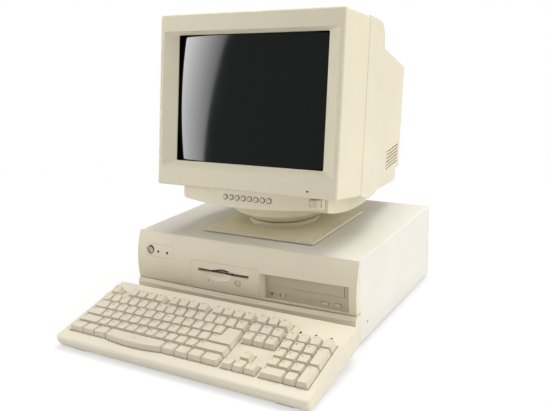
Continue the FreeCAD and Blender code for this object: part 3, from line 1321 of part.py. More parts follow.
def swivel_slider():
    """Curved plate inside the bowl that the post's hooks hold down. Its two
    keys run in the bowl's slot, so it swivels with the bowl but does not tilt."""
    inner = BOWL_R - BOWL_T - SEAT_GAP
    plate = cap_shell(inner, BOWL_T, SLIDE_R)
    half = SLOT_HALF - FIT
    low = BOWL_Z - BOWL_R
    lug = box(MON_X - half, MON_X + half, PLATE_Y - SLIDE_KEY_Y, PLATE_Y + SLIDE_KEY_Y, low + 1.0, low + BOWL_T + 4.0)
    bore = rod(POST_R + RUNNING, V(MON_X, PLATE_Y, 0), Z, BOWL_Z)
    band = box(MON_X - SLIDE_R, MON_X + SLIDE_R, PLATE_Y - SLIDE_HALF_W, PLATE_Y + SLIDE_HALF_W, 0, BOWL_Z)
    return plate.common(band).fuse(lug).cut(bore).removeSplitter()


# The keyboard is modelled on its flat bottom: y back from the front edge of
# the bottom, z up from the bottom face. prop() lifts its rear onto the feet.
TOP_TAN = math.tan(math.radians(KB_SLOPE))
KEY_X0 = -22.5 * KEY_PITCH / 2
KB_H = KB_W / 2


def prop(shape):
    """Set a keyboard piece on the desk, raised at the rear."""
    shape = shape.copy()
    shape.rotate(V(0, 0, 0), X, KB_LEAN)
    shape.translate(V(0, KB_FRONT_Y, KB_PAD_H))
    return shape


def deck(shape):
    """Move a piece drawn on the sloping top face into the keyboard: x across,
    y up the slope from the bottom row's front, z square to the face."""
    shape = shape.copy()
    shape.rotate(V(0, 0, 0), X, KB_SLOPE)
    shape.translate(V(0, KEY_FRONT, KB_LIP_Z + (KEY_FRONT - KB_LIP_Y) * TOP_TAN))
    return shape


def kb_profile(inset, low):
    """Side outline of the keyboard housing above a level, inset by a wall."""
    i = inset
    top_y = KB_D - 3.0
    top_z = KB_LIP_Z + (top_y - KB_LIP_Y) * TOP_TAN
    return [(0.6 + i, low), (0.6 + i, KB_LIP_Z - 6.0),
            ((2.0 + i * 0.8, KB_LIP_Z - 1.6 - i * 0.7), (KB_LIP_Y + i, KB_LIP_Z - i + i * TOP_TAN)),
            (top_y - i, top_z - i), ((KB_D - 0.9 - i, top_z - 0.9 - i), (KB_D - i, top_z - 3.2 - i)),
            (KB_D - i, low)]


def keys():
    """Every key as (node, left, row, width, depth) in key widths. Rows count
    from the front. Rows 1 to 4 are the letter block, row 5.23 the top row."""
    rows = []
    x = 0.0
    for i, w in enumerate((1.5, 1.25, 1.25, 5.75, 1.25, 1.25, 1.25, 1.5)):
        rows.append(("space_bar" if i == 3 else "modifier_keys", x, 0.0, w, 1.0))
        x += w
    rows += [("shift_keys", 0.0, 1.0, 2.25, 1.0), ("shift_keys", 12.25, 1.0, 2.75, 1.0)]
    rows += [("lower_letter_keys", 2.25 + i, 1.0, 1.0, 1.0) for i in range(10)]
    rows += [("home_row_keys", 0.0, 2.0, 1.75, 1.0)]
    rows += [("home_row_keys", 1.75 + i, 2.0, 1.0, 1.0) for i in range(11)]
    rows += [("enter_key", 12.75, 2.0, 2.25, 1.0)]
    rows += [("upper_letter_keys", 0.0, 3.0, 1.5, 1.0)]
    rows += [("upper_letter_keys", 1.5 + i, 3.0, 1.0, 1.0) for i in range(12)]
    rows += [("number_row_keys", float(i), 4.0, 1.0, 1.0) for i in range(15)]
    rows += [("escape_key", 0.0, 5.23, 1.0, 1.0)]
    rows += [("function_keys", start + i, 5.23, 1.0, 1.0) for start in (2.0, 6.5, 11.0) for i in range(4)]
    rows += [("navigation_keys", 15.25 + i, r, 1.0, 1.0) for r in (3.0, 4.0, 5.23) for i in range(3)]
    rows += [("arrow_keys", 15.25 + i, 0.0, 1.0, 1.0) for i in range(3)]
    rows += [("arrow_keys", 16.25, 1.0, 1.0, 1.0)]
    rows += [("keypad_keys", 18.5, 0.0, 2.0, 1.0), ("keypad_keys", 20.5, 0.0, 1.0, 1.0)]
    rows += [("keypad_keys", 18.5 + i, r, 1.0, 1.0) for r in (1.0, 2.0, 3.0) for i in range(3)]
    rows += [("keypad_keys", 18.5 + i, 4.0, 1.0, 1.0) for i in range(4)]
    rows += [("keypad_keys", 21.5, 0.0, 1.0, 2.0), ("keypad_keys", 21.5, 2.0, 1.0, 2.0)]
    return rows


TOP_SIDE = (KEY_PITCH - KEY_GAP - KEY_TOP_W) / 2
TOP_FRONT = 2.6
TOP_REAR = KEY_PITCH - KEY_GAP - KEY_TOP_D - TOP_FRONT
ENTER_LOWER = (12.75, 2.0, 2.25, 1.0)
ENTER_UPPER = (13.5, 2.0, 1.5, 2.0)
ROW_HEIGHT = {0.0: 8.2, 1.0: 8.4, 2.0: 8.6, 3.0: 9.4, 4.0: 10.4, 5.23: 10.6}
ROW_RAKE = {0.0: 0.7, 1.0: 0.5, 2.0: 0.0, 3.0: -0.6, 4.0: -1.2, 5.23: -1.2}
BAR_BOW = 5.0


def key_edges(x, row, w, d):
    """Left, right, front and rear edge of a keycap's skirt."""
    p = KEY_PITCH
    g = KEY_GAP / 2
    return KEY_X0 + x * p + g, KEY_X0 + (x + w) * p - g, row * p + g, (row + d) * p - g


def cap_block(edges, h, rake):
    """Tapered block of a keycap. The top is smaller than the skirt, lies
    towards the rear and is raked from front to rear."""
    x0, x1, y0, y1 = edges
    top = outline([V(x0 + TOP_SIDE, y0 + TOP_FRONT, h + rake), V(x1 - TOP_SIDE, y0 + TOP_FRONT, h + rake),
                   V(x1 - TOP_SIDE, y1 - TOP_REAR, h - rake), V(x0 + TOP_SIDE, y1 - TOP_REAR, h - rake)]).OuterWire
    return loft([flat_rect(x0, x1, y0, y1, -KEY_SKIRT), top])


def cap_room(edges, ceiling):
    """Hollow of a keycap, up to its ceiling."""
    x0, x1, y0, y1 = edges
    k = KEY_WALL
    t = KEY_WALL / 2
    return loft([flat_rect(x0 + k, x1 - k, y0 + k, y1 - k, -KEY_SKIRT - 0.01),
                 flat_rect(x0 + TOP_SIDE + t, x1 - TOP_SIDE - t, y0 + TOP_FRONT + t, y1 - TOP_REAR - t, ceiling)])


def key_cap(x, row, w, d):
    """One hollow keycap with its stem."""
    edges = key_edges(x, row, w, d)
    rake = ROW_RAKE[row]
    ceiling = ROW_HEIGHT[row] - abs(rake) - KEY_WALL
    cap = cap_block(edges, ROW_HEIGHT[row], rake).cut(cap_room(edges, ceiling))
    return cap.fuse(key_stem(*edges, ceiling))


def key_stem(x0, x1, y0, y1, top):
    """Square stem under the middle of a key, down through the key plate."""
    cx, cy = 0.5 * (x0 + x1), 0.5 * (y0 + y1)
    s = STEM / 2
    return box(cx - s, cx + s, cy - s, cy + s, -PLATE_N - KEY_PLATE_T - 0.6, top + 0.5)


def enter_cap():
    """Angled return key: a wide lower bar and a narrower upper block."""
    lower = key_edges(*ENTER_LOWER)
    upper = key_edges(*ENTER_UPPER)
    h = ROW_HEIGHT[2.0]
    ceiling = h - KEY_WALL
    cap = cap_block(lower, h, 0.0).fuse(cap_block(upper, h, 0.0))
    cap = cap.cut(cap_room(lower, ceiling)).cut(cap_room(upper, ceiling))
    return cap.fuse(key_stem(*upper, ceiling)).removeSplitter()


def space_cap():
    """Space bar: long bar whose front face bows towards the user."""
    x0, x1, y0, y1 = key_edges(4.0, 0.0, 5.75, 1.0)
    h = ROW_HEIGHT[0.0]
    cx = 0.5 * (x0 + x1)

    def bow_face(inset_x, front, rear, bow, z):
        a = V(x0 + inset_x, y0 + front, z)
        b = V(x1 - inset_x, y0 + front, z)
        return outline([a, (V(cx, y0 + front - bow, z), b), V(b.x, y1 - rear, z), V(a.x, y1 - rear, z)]).OuterWire
    k = KEY_WALL
    t = KEY_WALL / 2
    outer = loft([bow_face(0, 0, 0, BAR_BOW, -KEY_SKIRT), bow_face(TOP_SIDE, TOP_FRONT, TOP_REAR, BAR_BOW, h)])
    room = loft([bow_face(k, k, k, BAR_BOW, -KEY_SKIRT - 0.01),
                 bow_face(TOP_SIDE + t, TOP_FRONT + t, TOP_REAR + t, BAR_BOW, h - k)])
    stems = [key_stem(sx, sx, 0, KEY_PITCH, h - k) for sx in space_stems()]
    return outer.cut(room).fuse(stems)


def space_stems():
    """Middles of the space bar's three stems."""
    cx = KEY_X0 + (4.0 + 5.75 / 2) * KEY_PITCH
    return (cx - 40.0, cx, cx + 40.0)


def key_solid(key):
    """Solid of one key in its place on the deck."""
    name, x, row, w, d = key
    if name == "space_bar":
        return space_cap()
    if name == "enter_key":
        return enter_cap()
    return key_cap(x, row, w, d)


def well_spans():
    """Openings of the top shell as (left, right, front, rear) in key widths."""
    return [(0.0, 15.0, 0.0, 5.0), (0.0, 1.0, 5.23, 6.23), (2.0, 6.0, 5.23, 6.23), (6.5, 10.5, 5.23, 6.23),
            (11.0, 15.0, 5.23, 6.23), (15.25, 18.25, 5.23, 6.23), (15.25, 18.25, 3.0, 5.0),
            (15.25, 18.25, 0.0, 1.0), (16.25, 17.25, 0.0, 2.0), (18.5, 22.5, 0.0, 5.0)]


def wells():
    """Cutting bodies of the key openings, with the bay for the bowed bar."""
    cuts = []
    r = KEY_WELL - KEY_GAP / 2
    for x0, x1, y0, y1 in well_spans():
        cuts.append(box(KEY_X0 + x0 * KEY_PITCH - r, KEY_X0 + x1 * KEY_PITCH + r,
                        y0 * KEY_PITCH - r, y1 * KEY_PITCH + r, -20, 20))
    x0, x1 = KEY_X0 + 4.0 * KEY_PITCH, KEY_X0 + 9.75 * KEY_PITCH
    cuts.append(plan_bar([(x0 - 3, 1.0), (x0 - 1.0, -r), ((0.5 * (x0 + x1), -r - BAR_BOW), (x1 + 1.0, -r)),
                          (x1 + 3, 1.0)], -20, 20))
    return fuse(cuts)


def corner_plan(x0, x1, y0, y1, radius, z0, z1):
    """Upright bar with a rounded rectangle as its plan."""
    k = radius * (1.0 - math.sqrt(0.5))
    return plan_bar([(x0 + radius, y0), (x1 - radius, y0), ((x1 - k, y0 + k), (x1, y0 + radius)),
                     (x1, y1 - radius), ((x1 - k, y1 - k), (x1 - radius, y1)), (x0 + radius, y1),
                     ((x0 + k, y1 - k), (x0, y1 - radius)), (x0, y0 + radius),
                     ((x0 + k, y0 + k), (x0 + radius, y0))], z0, z1)


def key_shell():
    """Top shell of the keyboard with its wells and lamp windows."""
    solid = side_bar(kb_profile(0.0, KB_SPLIT), -KB_H, KB_H)
    solid = solid.common(corner_plan(-KB_H, KB_H, 0, KB_D, KB_CORNER_R, 0, 60))
    w = KB_WALL
    room = side_bar(kb_profile(w, KB_SPLIT - 1.0), -KB_H + w, KB_H - w)
    shell = solid.cut(room).cut(deck(wells()))
    windows = [deck(box(x - 1.6, x + 1.6, y - 2.2, y + 2.2, -8, 8)) for x, y in lamp_places()]
    return shell.cut(fuse(windows)).removeSplitter()


def lamp_places():
    """Middles of the three lock lamps on the deck."""
    return [(KEY_X0 + u * KEY_PITCH, 5.62 * KEY_PITCH) for u in (19.1, 20.4, 21.7)]


def lock_lamps():
    """Three lamp lenses of the lock keys."""
    g = 0.05
    return group([deck(box(x - 1.6 + g, x + 1.6 - g, y - 2.2 + g, y + 2.2 - g, -4, 0.3))
                  for x, y in lamp_places()])


def key_plate():
    """Guide plate under the keys, with a square hole for each stem and a rim
    that stands on the switch sheet."""
    x0, x1 = KEY_X0 - 2, KEY_X0 + 22.5 * KEY_PITCH + 2
    y0, y1 = -1.0, 6.3 * KEY_PITCH
    z1 = -PLATE_N
    z0 = z1 - KEY_PLATE_T
    plate = box(x0, x1, y0, y1, z0, z1)
    foot = -SHEET_N + SHEET_T
    rim = box(x0, x1, y0, y1, foot, z0).cut(box(x0 + 2, x1 - 2, y0 + 2, y1 - 2, foot - 1, z0 + 1))
    s = STEM / 2 + FIT
    holes = []
    for name, x, row, w, d in keys():
        if name == "enter_key":
            x, row, w, d = ENTER_UPPER
        cx = KEY_X0 + (x + w / 2) * KEY_PITCH
        cy = (row + d / 2) * KEY_PITCH
        if name == "space_bar":
            holes += [box(sx - s, sx + s, cy - s, cy + s, z0 - 1, z1 + 1) for sx in space_stems()]
            continue
        holes.append(box(cx - s, cx + s, cy - s, cy + s, z0 - 1, z1 + 1))
    return plate.fuse(rim).cut(Part.makeCompound(holes))


def switch_sheet():
    """Switch membrane on its backing, under the key plate."""
    x0, x1 = KEY_X0 - 2, KEY_X0 + 22.5 * KEY_PITCH + 2
    return box(x0, x1, -1.0, 6.3 * KEY_PITCH, -SHEET_N, -SHEET_N + SHEET_T)


def bottom_shell():
    """Lower shell with the ribs that carry the switch sheet and two foot bays."""
    w = KB_WALL
    tray = box(-KB_H + 0.4, KB_H - 0.4, 1.2, KB_D - 0.6, 0, KB_SPLIT)
    tray = rounded(tray, KB_CORNER_R - 0.4, lambda m, d: abs(d.z) > 0.9)
    tray = tray.makeChamfer(1.2, [e for e in tray.Edges if e.BoundBox.ZMax < 0.01])
    tray = tray.cut(box(-KB_H + 0.4 + w, KB_H - 0.4 - w, 1.2 + w, KB_D - 0.6 - w, w, KB_SPLIT + 1))
    under = deck(box(KEY_X0 - 2, KEY_X0 + 22.5 * KEY_PITCH + 2, -1.0, 6.3 * KEY_PITCH, -40, -SHEET_N))
    ribs = [box(x - 1, x + 1, 4, KB_D - 6, w - 0.1, 40) for x in (-200, -145, -70, 0, 70, 145, 200)]
    ribs.append(box(-205, 205, 60, 62, w - 0.1, 40))
    ribs = [rib.common(under) for rib in ribs]
    tray = fuse([tray] + ribs)
    for sx in (-1, 1):
        bay = foot_bay(sx, 0.0)
        tray = tray.fuse(foot_bay(sx, w)).cut(bay)
        tray = tray.cut(rod(KB_FOOT_PIN + RUNNING, V(foot_x(sx) - KB_FOOT_W / 2 - 2.0, KB_FOOT_Y, foot_pin_z()), X,
                            KB_FOOT_W + 4.0))
    return tray.removeSplitter()


def foot_x(side):
    """Middle of one flip foot."""
    return side * KB_FOOT_X


def foot_pin_z():
    """Height of the feet's hinge pins above the bottom face."""
    return 3.4


def foot_length():
    """From the hinge pin down to the desk, square to the keyboard's bottom."""
    rise = KB_PAD_H + KB_FOOT_Y * math.sin(math.radians(KB_LEAN))
    return rise / math.cos(math.radians(KB_LEAN)) + foot_pin_z()


def foot_bay(side, wall):
    """Pocket that a folded foot lies in, or its walls when given a thickness."""
    x = foot_x(side)
    half = KB_FOOT_W / 2 + 0.8 + wall
    low = -0.01 if wall == 0 else 0.0
    return box(x - half, x + half, KB_FOOT_Y - foot_length() - 2.0 - wall, KB_FOOT_Y + 3.6 + wall, low,
               foot_pin_z() + 3.2 + wall)


def flip_foot(side):
    """Flip foot standing down from its pins, with a lip to pull it out by."""
    x = foot_x(side)
    half = KB_FOOT_W / 2
    z = foot_pin_z()
    barrel = rod(2.6, V(x - half, KB_FOOT_Y, z), X, KB_FOOT_W)
    blade = box(x - half, x + half, KB_FOOT_Y - 2.2, KB_FOOT_Y + 2.2, -foot_length(), z)
    window = box(x - half + 6, x + half - 6, KB_FOOT_Y - 3, KB_FOOT_Y + 3, -foot_length() + 6, -4)
    pins = rod(KB_FOOT_PIN, V(x - half - 1.8, KB_FOOT_Y, z), X, KB_FOOT_W + 3.6)
    foot = prop(fuse([barrel, blade, pins]).cut(window))
    return foot.common(box(-KB_W, KB_W, -CASE_D, CASE_D, 0, CASE_TOP))


def keyboard_pads():
    """Two rubber strips under the front edge, flat on the desk."""
    pads = [prop(box(x - 14, x + 14, 8, 18, -8, 0.0)) for x in (-185, 185)]
    desk = box(-KB_W, KB_W, -CASE_D, CASE_D, 0, CASE_TOP)
    return group([pad.common(desk) for pad in pads])


def build_monitor():
    """Monitor on its stand, leaned back as at rest."""
    upright = {
        "monitor_bezel": monitor_bezel(), "monitor_rear_cover": rear_cover(),
        "monitor_power_button": monitor_switch(), "control_buttons": control_buttons(),
        "picture_tube": picture_tube(), "tube_screws": tube_screws(),
        "deflection_yoke": deflection_yoke(), "neck_board": neck_board(),
        "monitor_board": monitor_board(),
        "monitor_light": rod(CASE_LIGHT_R, V(MON_LIGHT_X, -0.6, MON_LIGHT_Z), Y, 6.0),
    }
    for name, shape in upright.items():
        PARTS[name] = lean(shape)
    PARTS["tilt_bowl"] = tilt_bowl()
    PARTS["swivel_slider"] = swivel_slider()
    PARTS["swivel_base"] = swivel_base()
    PARTS["base_pads"] = base_pads()


def build_keyboard():
    """Keyboard with its feet out."""
    banks = {}
    for key in keys():
        banks.setdefault(key[0], []).append(prop(deck(key_solid(key))))
    for name, caps in banks.items():
        PARTS[name] = group(caps) if len(caps) > 1 else caps[0]
    PARTS["keyboard_top_shell"] = prop(key_shell())
    PARTS["keyboard_bottom_shell"] = prop(bottom_shell())
    PARTS["key_plate"] = prop(deck(key_plate()))
    PARTS["switch_sheet"] = prop(deck(switch_sheet()))
    PARTS["lock_lamps"] = prop(lock_lamps())
    PARTS["keyboard_foot_left"] = flip_foot(-1)
    PARTS["keyboard_foot_right"] = flip_foot(1)
    PARTS["keyboard_pads"] = keyboard_pads()


def set_origin():
    """Shift along Y that puts the origin under the middle of the whole set."""
    boxes = [shape.optimalBoundingBox() for shape in PARTS.values()]
    return -0.5 * (min(b.YMin for b in boxes) + max(b.YMax for b in boxes))


def report(shift):
    """Print the places that the joints turn or slide about."""
    print("shift", shift)
    print("bowl", MON_X, PLATE_Y + shift, BOWL_Z)
    print("fan", [round(v, 3) for v in fan_centre()])
    print("wheel", cd_spot(1)[0], wheel_y() + shift, cd_spot(1)[2])
    lift = math.radians(KB_LEAN)
    y, z = KB_FOOT_Y, foot_pin_z()
    print("foot", y * math.cos(lift) - z * math.sin(lift) + KB_FRONT_Y + shift,
          y * math.sin(lift) + z * math.cos(lift) + KB_PAD_H)
    print("nodes", len(PARTS))


def main():
    """Build every piece, move the set to its origin and write the files."""
    build_system_unit()
    build_monitor()
    build_keyboard()
    shift = set_origin()
    os.makedirs("parts", exist_ok=True)
    for name, shape in PARTS.items():
        shape.translate(V(0, shift, 0))
        shape.exportStep(os.path.join("parts", name + ".step"))
    report(shift)


main()
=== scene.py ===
"""Looks of the home computer: camera, light, finishes and the fine surface pieces."""
import bpy
import json
import math
import numpy as np
from mathutils import Matrix, Vector


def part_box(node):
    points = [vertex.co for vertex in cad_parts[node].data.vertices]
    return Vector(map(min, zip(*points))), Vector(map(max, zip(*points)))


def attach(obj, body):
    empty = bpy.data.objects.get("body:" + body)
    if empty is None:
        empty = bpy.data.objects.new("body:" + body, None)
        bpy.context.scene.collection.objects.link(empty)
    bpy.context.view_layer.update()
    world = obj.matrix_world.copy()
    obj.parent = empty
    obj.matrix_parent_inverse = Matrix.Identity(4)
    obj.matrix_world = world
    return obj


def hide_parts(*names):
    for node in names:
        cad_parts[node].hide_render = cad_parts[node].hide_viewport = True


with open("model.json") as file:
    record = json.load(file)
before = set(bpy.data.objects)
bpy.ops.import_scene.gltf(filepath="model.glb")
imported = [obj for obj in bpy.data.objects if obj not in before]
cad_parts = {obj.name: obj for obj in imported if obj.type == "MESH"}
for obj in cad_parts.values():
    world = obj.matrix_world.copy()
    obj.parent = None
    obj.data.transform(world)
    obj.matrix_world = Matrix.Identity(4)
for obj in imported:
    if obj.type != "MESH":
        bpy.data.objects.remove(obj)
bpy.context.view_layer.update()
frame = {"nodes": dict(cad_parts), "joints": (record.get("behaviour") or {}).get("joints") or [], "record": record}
nodes = frame["nodes"]

MM = 0.001
# Keyboard, in millimetres, on its own bottom face
KEY_PITCH = 19.05
KEY_GAP = 0.9
KEY_FRONT = 21.5
KEY_X0 = -22.5 * KEY_PITCH / 2
KB_LIP_Y = 5.6
KB_LIP_Z = 18.1
KB_SLOPE = math.radians(5.7)
KB_LEAN = math.radians(6.5)
KB_PAD_H = 2.0
KB_FRONT_Y = -204.0
CAP_TOP_SIDE = 2.1
CAP_TOP_FRONT = 2.0
CAP_TOP_REAR = 1.3
SPACE_BOW = 5.0
CAP_SKIRT = 0.6
CAP_SHOULDER = 0.8
CAP_DISH = 0.75
SPACE_CROWN = 0.6
CAP_LOW_CORNER = 1.6
CAP_TOP_CORNER = 2.4
LETTER_SIZE, WORD_SIZE = 5.2, 3.0
LEGEND_LIFT = 0.12
ROW_HEIGHT = {0.0: 8.2, 1.0: 8.4, 2.0: 8.6, 3.0: 9.4, 4.0: 10.4, 5.23: 10.6}
ROW_RAKE = {0.0: 0.7, 1.0: 0.5, 2.0: 0.0, 3.0: -0.6, 4.0: -1.2, 5.23: -1.2}
# Monitor, in millimetres, upright: y back from the front face, z up from its bottom
MON_LEAN = math.radians(9.5)
BOWL_CENTRE = (0.0, 129.0, 77.0)
MON_HALF = 168.0
MON_H = 280.0
MON_SEAM = 91.0
STRIP_FRONT, STRIP_BOW, STRIP_X = 4.0, 9.0, 117.0
BUTTON_X, BUTTON_PITCH, BUTTON_COUNT, BUTTON_R, BUTTON_Z = -31.0, 11.6, 8, 3.6, -11.0
GLASS_X, GLASS_LOW, GLASS_HIGH = 146.0, 34.0, 256.0
FACE_R = 1300.0
GLASS_EDGE_Y = 22.0
# System unit, in millimetres
POWER_X, POWER_Z, POWER_R = -180.0, 110.0, 6.5
CASE_LIGHT_X, CASE_LIGHT_Z, CASE_LIGHT_R = (-163.0, -143.0), 108.5, 1.5
SLOT_X, SLOT_Z = -25.0, 91.0
EJECT_X, EJECT_Z, EJECT_R = 4.0, 78.5, 5.0
POWER_FIELD = (-190.5, -130.0, 99.5, 120.5)
DRIVE_FIELD = (-92.0, 44.0, 52.0, 106.0)


# Where things are

CASE_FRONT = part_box("case_pan")[0].y / MM


def deck_matrix():
    """Places the sloping key deck: x across, y up the slope, z square to it."""
    rise = KB_LIP_Z + (KEY_FRONT - KB_LIP_Y) * math.tan(KB_SLOPE)
    on_bottom = Matrix.Translation((0, KEY_FRONT, rise)) @ Matrix.Rotation(KB_SLOPE, 4, "X")
    on_desk = Matrix.Translation((0, KB_FRONT_Y + CASE_FRONT, KB_PAD_H)) @ Matrix.Rotation(KB_LEAN, 4, "X")
    return Matrix.Scale(MM, 4) @ on_desk @ on_bottom


DECK = np.array(deck_matrix())


def monitor_matrix():
    """Places the upright monitor: its bowl centre goes to the tilt joint, leaned back."""
    pivot = next(j["pos_m"] for j in frame["joints"] if j["name"] == "monitor_tilt")
    move = Matrix.Translation(-Vector(BOWL_CENTRE))
    return Matrix.Translation(pivot) @ Matrix.Scale(MM, 4) @ Matrix.Rotation(-MON_LEAN, 4, "X") @ move


MONITOR = np.array(monitor_matrix())


def placed(points, matrix):
    """Points (n, 3) turned and moved by a 4 x 4 matrix."""
    return points @ matrix[:3, :3].T + matrix[:3, 3]


# Mesh helpers

def new_mesh(name, points, faces, material):
    """An object at the origin from point rows and face index rows."""
    mesh = bpy.data.meshes.new(name)
    mesh.from_pydata(np.asarray(points).tolist(), [], faces if isinstance(faces, list) else faces.tolist())
    mesh.materials.append(material)
    mesh.update()
    piece = bpy.data.objects.new(name, mesh)
    bpy.context.scene.collection.objects.link(piece)
    return piece


def mesh_piece(name, points, faces, material, body, smooth=True, matrix=None):
    """A new mesh, placed by a matrix if one is given, that rides on a body."""
    if matrix is not None:
        points = placed(points, matrix)
    piece = new_mesh(name, points, faces, material)
    piece.data.polygons.foreach_set("use_smooth", np.full(len(faces), smooth))
    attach(piece, body)
    return piece


def loop_faces(levels, count, start=0):
    """Quads between closed rings of points, each ring one after the other."""
    i, j = np.meshgrid(np.arange(levels - 1), np.arange(count), indexing="ij")
    k = (j + 1) % count
    quads = np.stack([i * count + j, i * count + k, (i + 1) * count + k, (i + 1) * count + j], axis=-1)
    return quads.reshape(-1, 4) + start


def rounded_outline(corners, radius, steps=5, between=6):
    """Closed outline through polygon corners. Each corner is a quadratic curve
    (1-t)^2 S + 2t(1-t) P + t^2 E between points a radius along its sides, and
    each straight side has evenly spaced points."""
    p = np.asarray(corners, float)
    before = np.roll(p, 1, axis=0) - p
    after = np.roll(p, -1, axis=0) - p
    s = p + before / np.linalg.norm(before, axis=1, keepdims=True) * radius
    e = p + after / np.linalg.norm(after, axis=1, keepdims=True) * radius
    t = np.linspace(0, 1, steps)[None, :, None]
    curve = (1 - t) ** 2 * s[:, None] + 2 * t * (1 - t) * p[:, None] + t ** 2 * e[:, None]
    share = (0.5 - 0.5 * np.cos(np.linspace(0, math.pi, between + 2)[1:-1]))[None, :, None]
    side = e[:, None] + (np.roll(s, -1, axis=0) - e)[:, None] * share
    return np.concatenate([curve, side], axis=1).reshape(-1, 2)


# Keys

def key_list():
    """Every key as (node, left, row, width, depth, legend) in key widths."""
    rows = []
    x = 0.0
    for i, (w, word) in enumerate(zip((1.5, 1.25, 1.25, 5.75, 1.25, 1.25, 1.25, 1.5),
                                      ("Ctrl", "", "Alt", "", "Alt", "", "", "Ctrl"))):
        rows.append(("space_bar" if i == 3 else "modifier_keys", x, 0.0, w, 1.0, word))
        x += w
    rows += [("shift_keys", 0.0, 1.0, 2.25, 1.0, "Shift"), ("shift_keys", 12.25, 1.0, 2.75, 1.0, "Shift")]
    rows += [("lower_letter_keys", 2.25 + i, 1.0, 1.0, 1.0, c) for i, c in enumerate("ZXCVBNM,./")]
    rows += [("home_row_keys", 0.0, 2.0, 1.75, 1.0, "Caps")]
    rows += [("home_row_keys", 1.75 + i, 2.0, 1.0, 1.0, c) for i, c in enumerate("ASDFGHJKL;'")]
    rows += [("enter_key", 12.75, 2.0, 2.25, 1.0, "Enter")]
    rows += [("upper_letter_keys", 0.0, 3.0, 1.5, 1.0, "Tab")]
    rows += [("upper_letter_keys", 1.5 + i, 3.0, 1.0, 1.0, c) for i, c in enumerate("QWERTYUIOP[]")]
    rows += [("number_row_keys", float(i), 4.0, 1.0, 1.0, c) for i, c in enumerate("`1234567890-=\\")]
    rows += [("number_row_keys", 14.0, 4.0, 1.0, 1.0, "Bksp")]
    rows += [("escape_key", 0.0, 5.23, 1.0, 1.0, "Esc")]
    rows += [("function_keys", start + i, 5.23, 1.0, 1.0, "F%d" % (4 * k + i + 1))
             for k, start in enumerate((2.0, 6.5, 11.0)) for i in range(4)]
    words = (("Del", "End", "PgDn"), ("Ins", "Home", "PgUp"), ("Prt", "Scr", "Brk"))
    rows += [("navigation_keys", 15.25 + i, r, 1.0, 1.0, words[k][i])
             for k, r in enumerate((3.0, 4.0, 5.23)) for i in range(3)]
    rows += [("arrow_keys", 15.25 + i, 0.0, 1.0, 1.0, c) for i, c in enumerate("<v>")]
    rows += [("arrow_keys", 16.25, 1.0, 1.0, 1.0, "^")]
    rows += [("keypad_keys", 18.5, 0.0, 2.0, 1.0, "0"), ("keypad_keys", 20.5, 0.0, 1.0, 1.0, ".")]
    rows += [("keypad_keys", 18.5 + i, r, 1.0, 1.0, str(int(3 * r - 2 + i)))
             for r in (1.0, 2.0, 3.0) for i in range(3)]
    rows += [("keypad_keys", 18.5 + i, 4.0, 1.0, 1.0, c) for i, c in enumerate(("Num", "/", "*", "-"))]
    rows += [("keypad_keys", 21.5, 0.0, 1.0, 2.0, "Ent"), ("keypad_keys", 21.5, 2.0, 1.0, 2.0, "+")]
    return rows


def key_corners(x, row, w, d):
    """Left, right, front and rear edge of a key's skirt."""
    g = KEY_GAP / 2
    return (KEY_X0 + x * KEY_PITCH + g, KEY_X0 + (x + w) * KEY_PITCH - g,
            row * KEY_PITCH + g, (row + d) * KEY_PITCH - g)


def rectangle(x0, x1, y0, y1):
    """Corners of a rectangle, anticlockwise."""
    return [(x0, y0), (x1, y0), (x1, y1), (x0, y1)]


def cap_surface(low, top, height, rake, centre, span, dish, bow=0.0):
    """Keycap: rings run from the skirt's outline up to the top's outline, over
    a rounded shoulder, and shrink to the centre. The top sinks by
    dish (1 - s^2), s from -1 to 1 across its width, and is raked in depth.
    The front side of a wide key bows out by bow (1 - s^2)."""
    turn = np.linspace(0, math.pi / 2, 4)
    flank = np.linspace(0.0, height - CAP_SHOULDER, 6)[:-1]
    rise = np.concatenate([[-CAP_SKIRT], flank, height - CAP_SHOULDER + CAP_SHOULDER * np.sin(turn)])
    slope = (rise + CAP_SKIRT) / (height + CAP_SKIRT)
    bend = 1 + len(flank)
    slope[bend:] = slope[bend] + (1 - slope[bend]) * (1 - np.cos(turn))
    sides = low[None] + (top - low)[None] * slope[:, None, None]
    shrink = np.array([0.86, 0.66, 0.44, 0.22, 0.04])
    inner = centre + (top - centre)[None] * shrink[:, None, None]
    xy = np.concatenate([sides, inner])
    z = np.concatenate([np.repeat(rise[:, None], len(low), 1), np.full((len(shrink), len(low)), height)])
    reach = np.clip((z + CAP_SKIRT) / (height + CAP_SKIRT), 0, 1) ** 3
    depth = np.ptp(top[:, 1]) / 2
    s = np.clip((xy[..., 0] - centre[0]) / span, -1, 1)
    z = z + reach * (rake * -(xy[..., 1] - centre[1]) / depth)
    z[len(rise):] -= dish * (1 - s[len(rise):] ** 2)
    if bow:
        share = np.clip((xy[..., 1].max() - xy[..., 1]) / np.ptp(xy[..., 1]), 0, 1)
        xy[..., 1] -= bow * share * (1 - ((xy[..., 0] - centre[0]) / (np.ptp(low[:, 0]) / 2)) ** 2)
    points = np.concatenate([xy, z[..., None]], axis=-1).reshape(-1, 3)
    count = len(low)
    faces = loop_faces(len(xy), count)
    pole = np.array([[centre[0], centre[1], z[-1].mean()]])
    last = (len(xy) - 1) * count + np.arange(count)
    fan = np.stack([last, np.roll(last, -1), np.full(count, len(points)), np.full(count, len(points))], -1)
    return np.concatenate([points, pole]), faces, fan[:, :3]


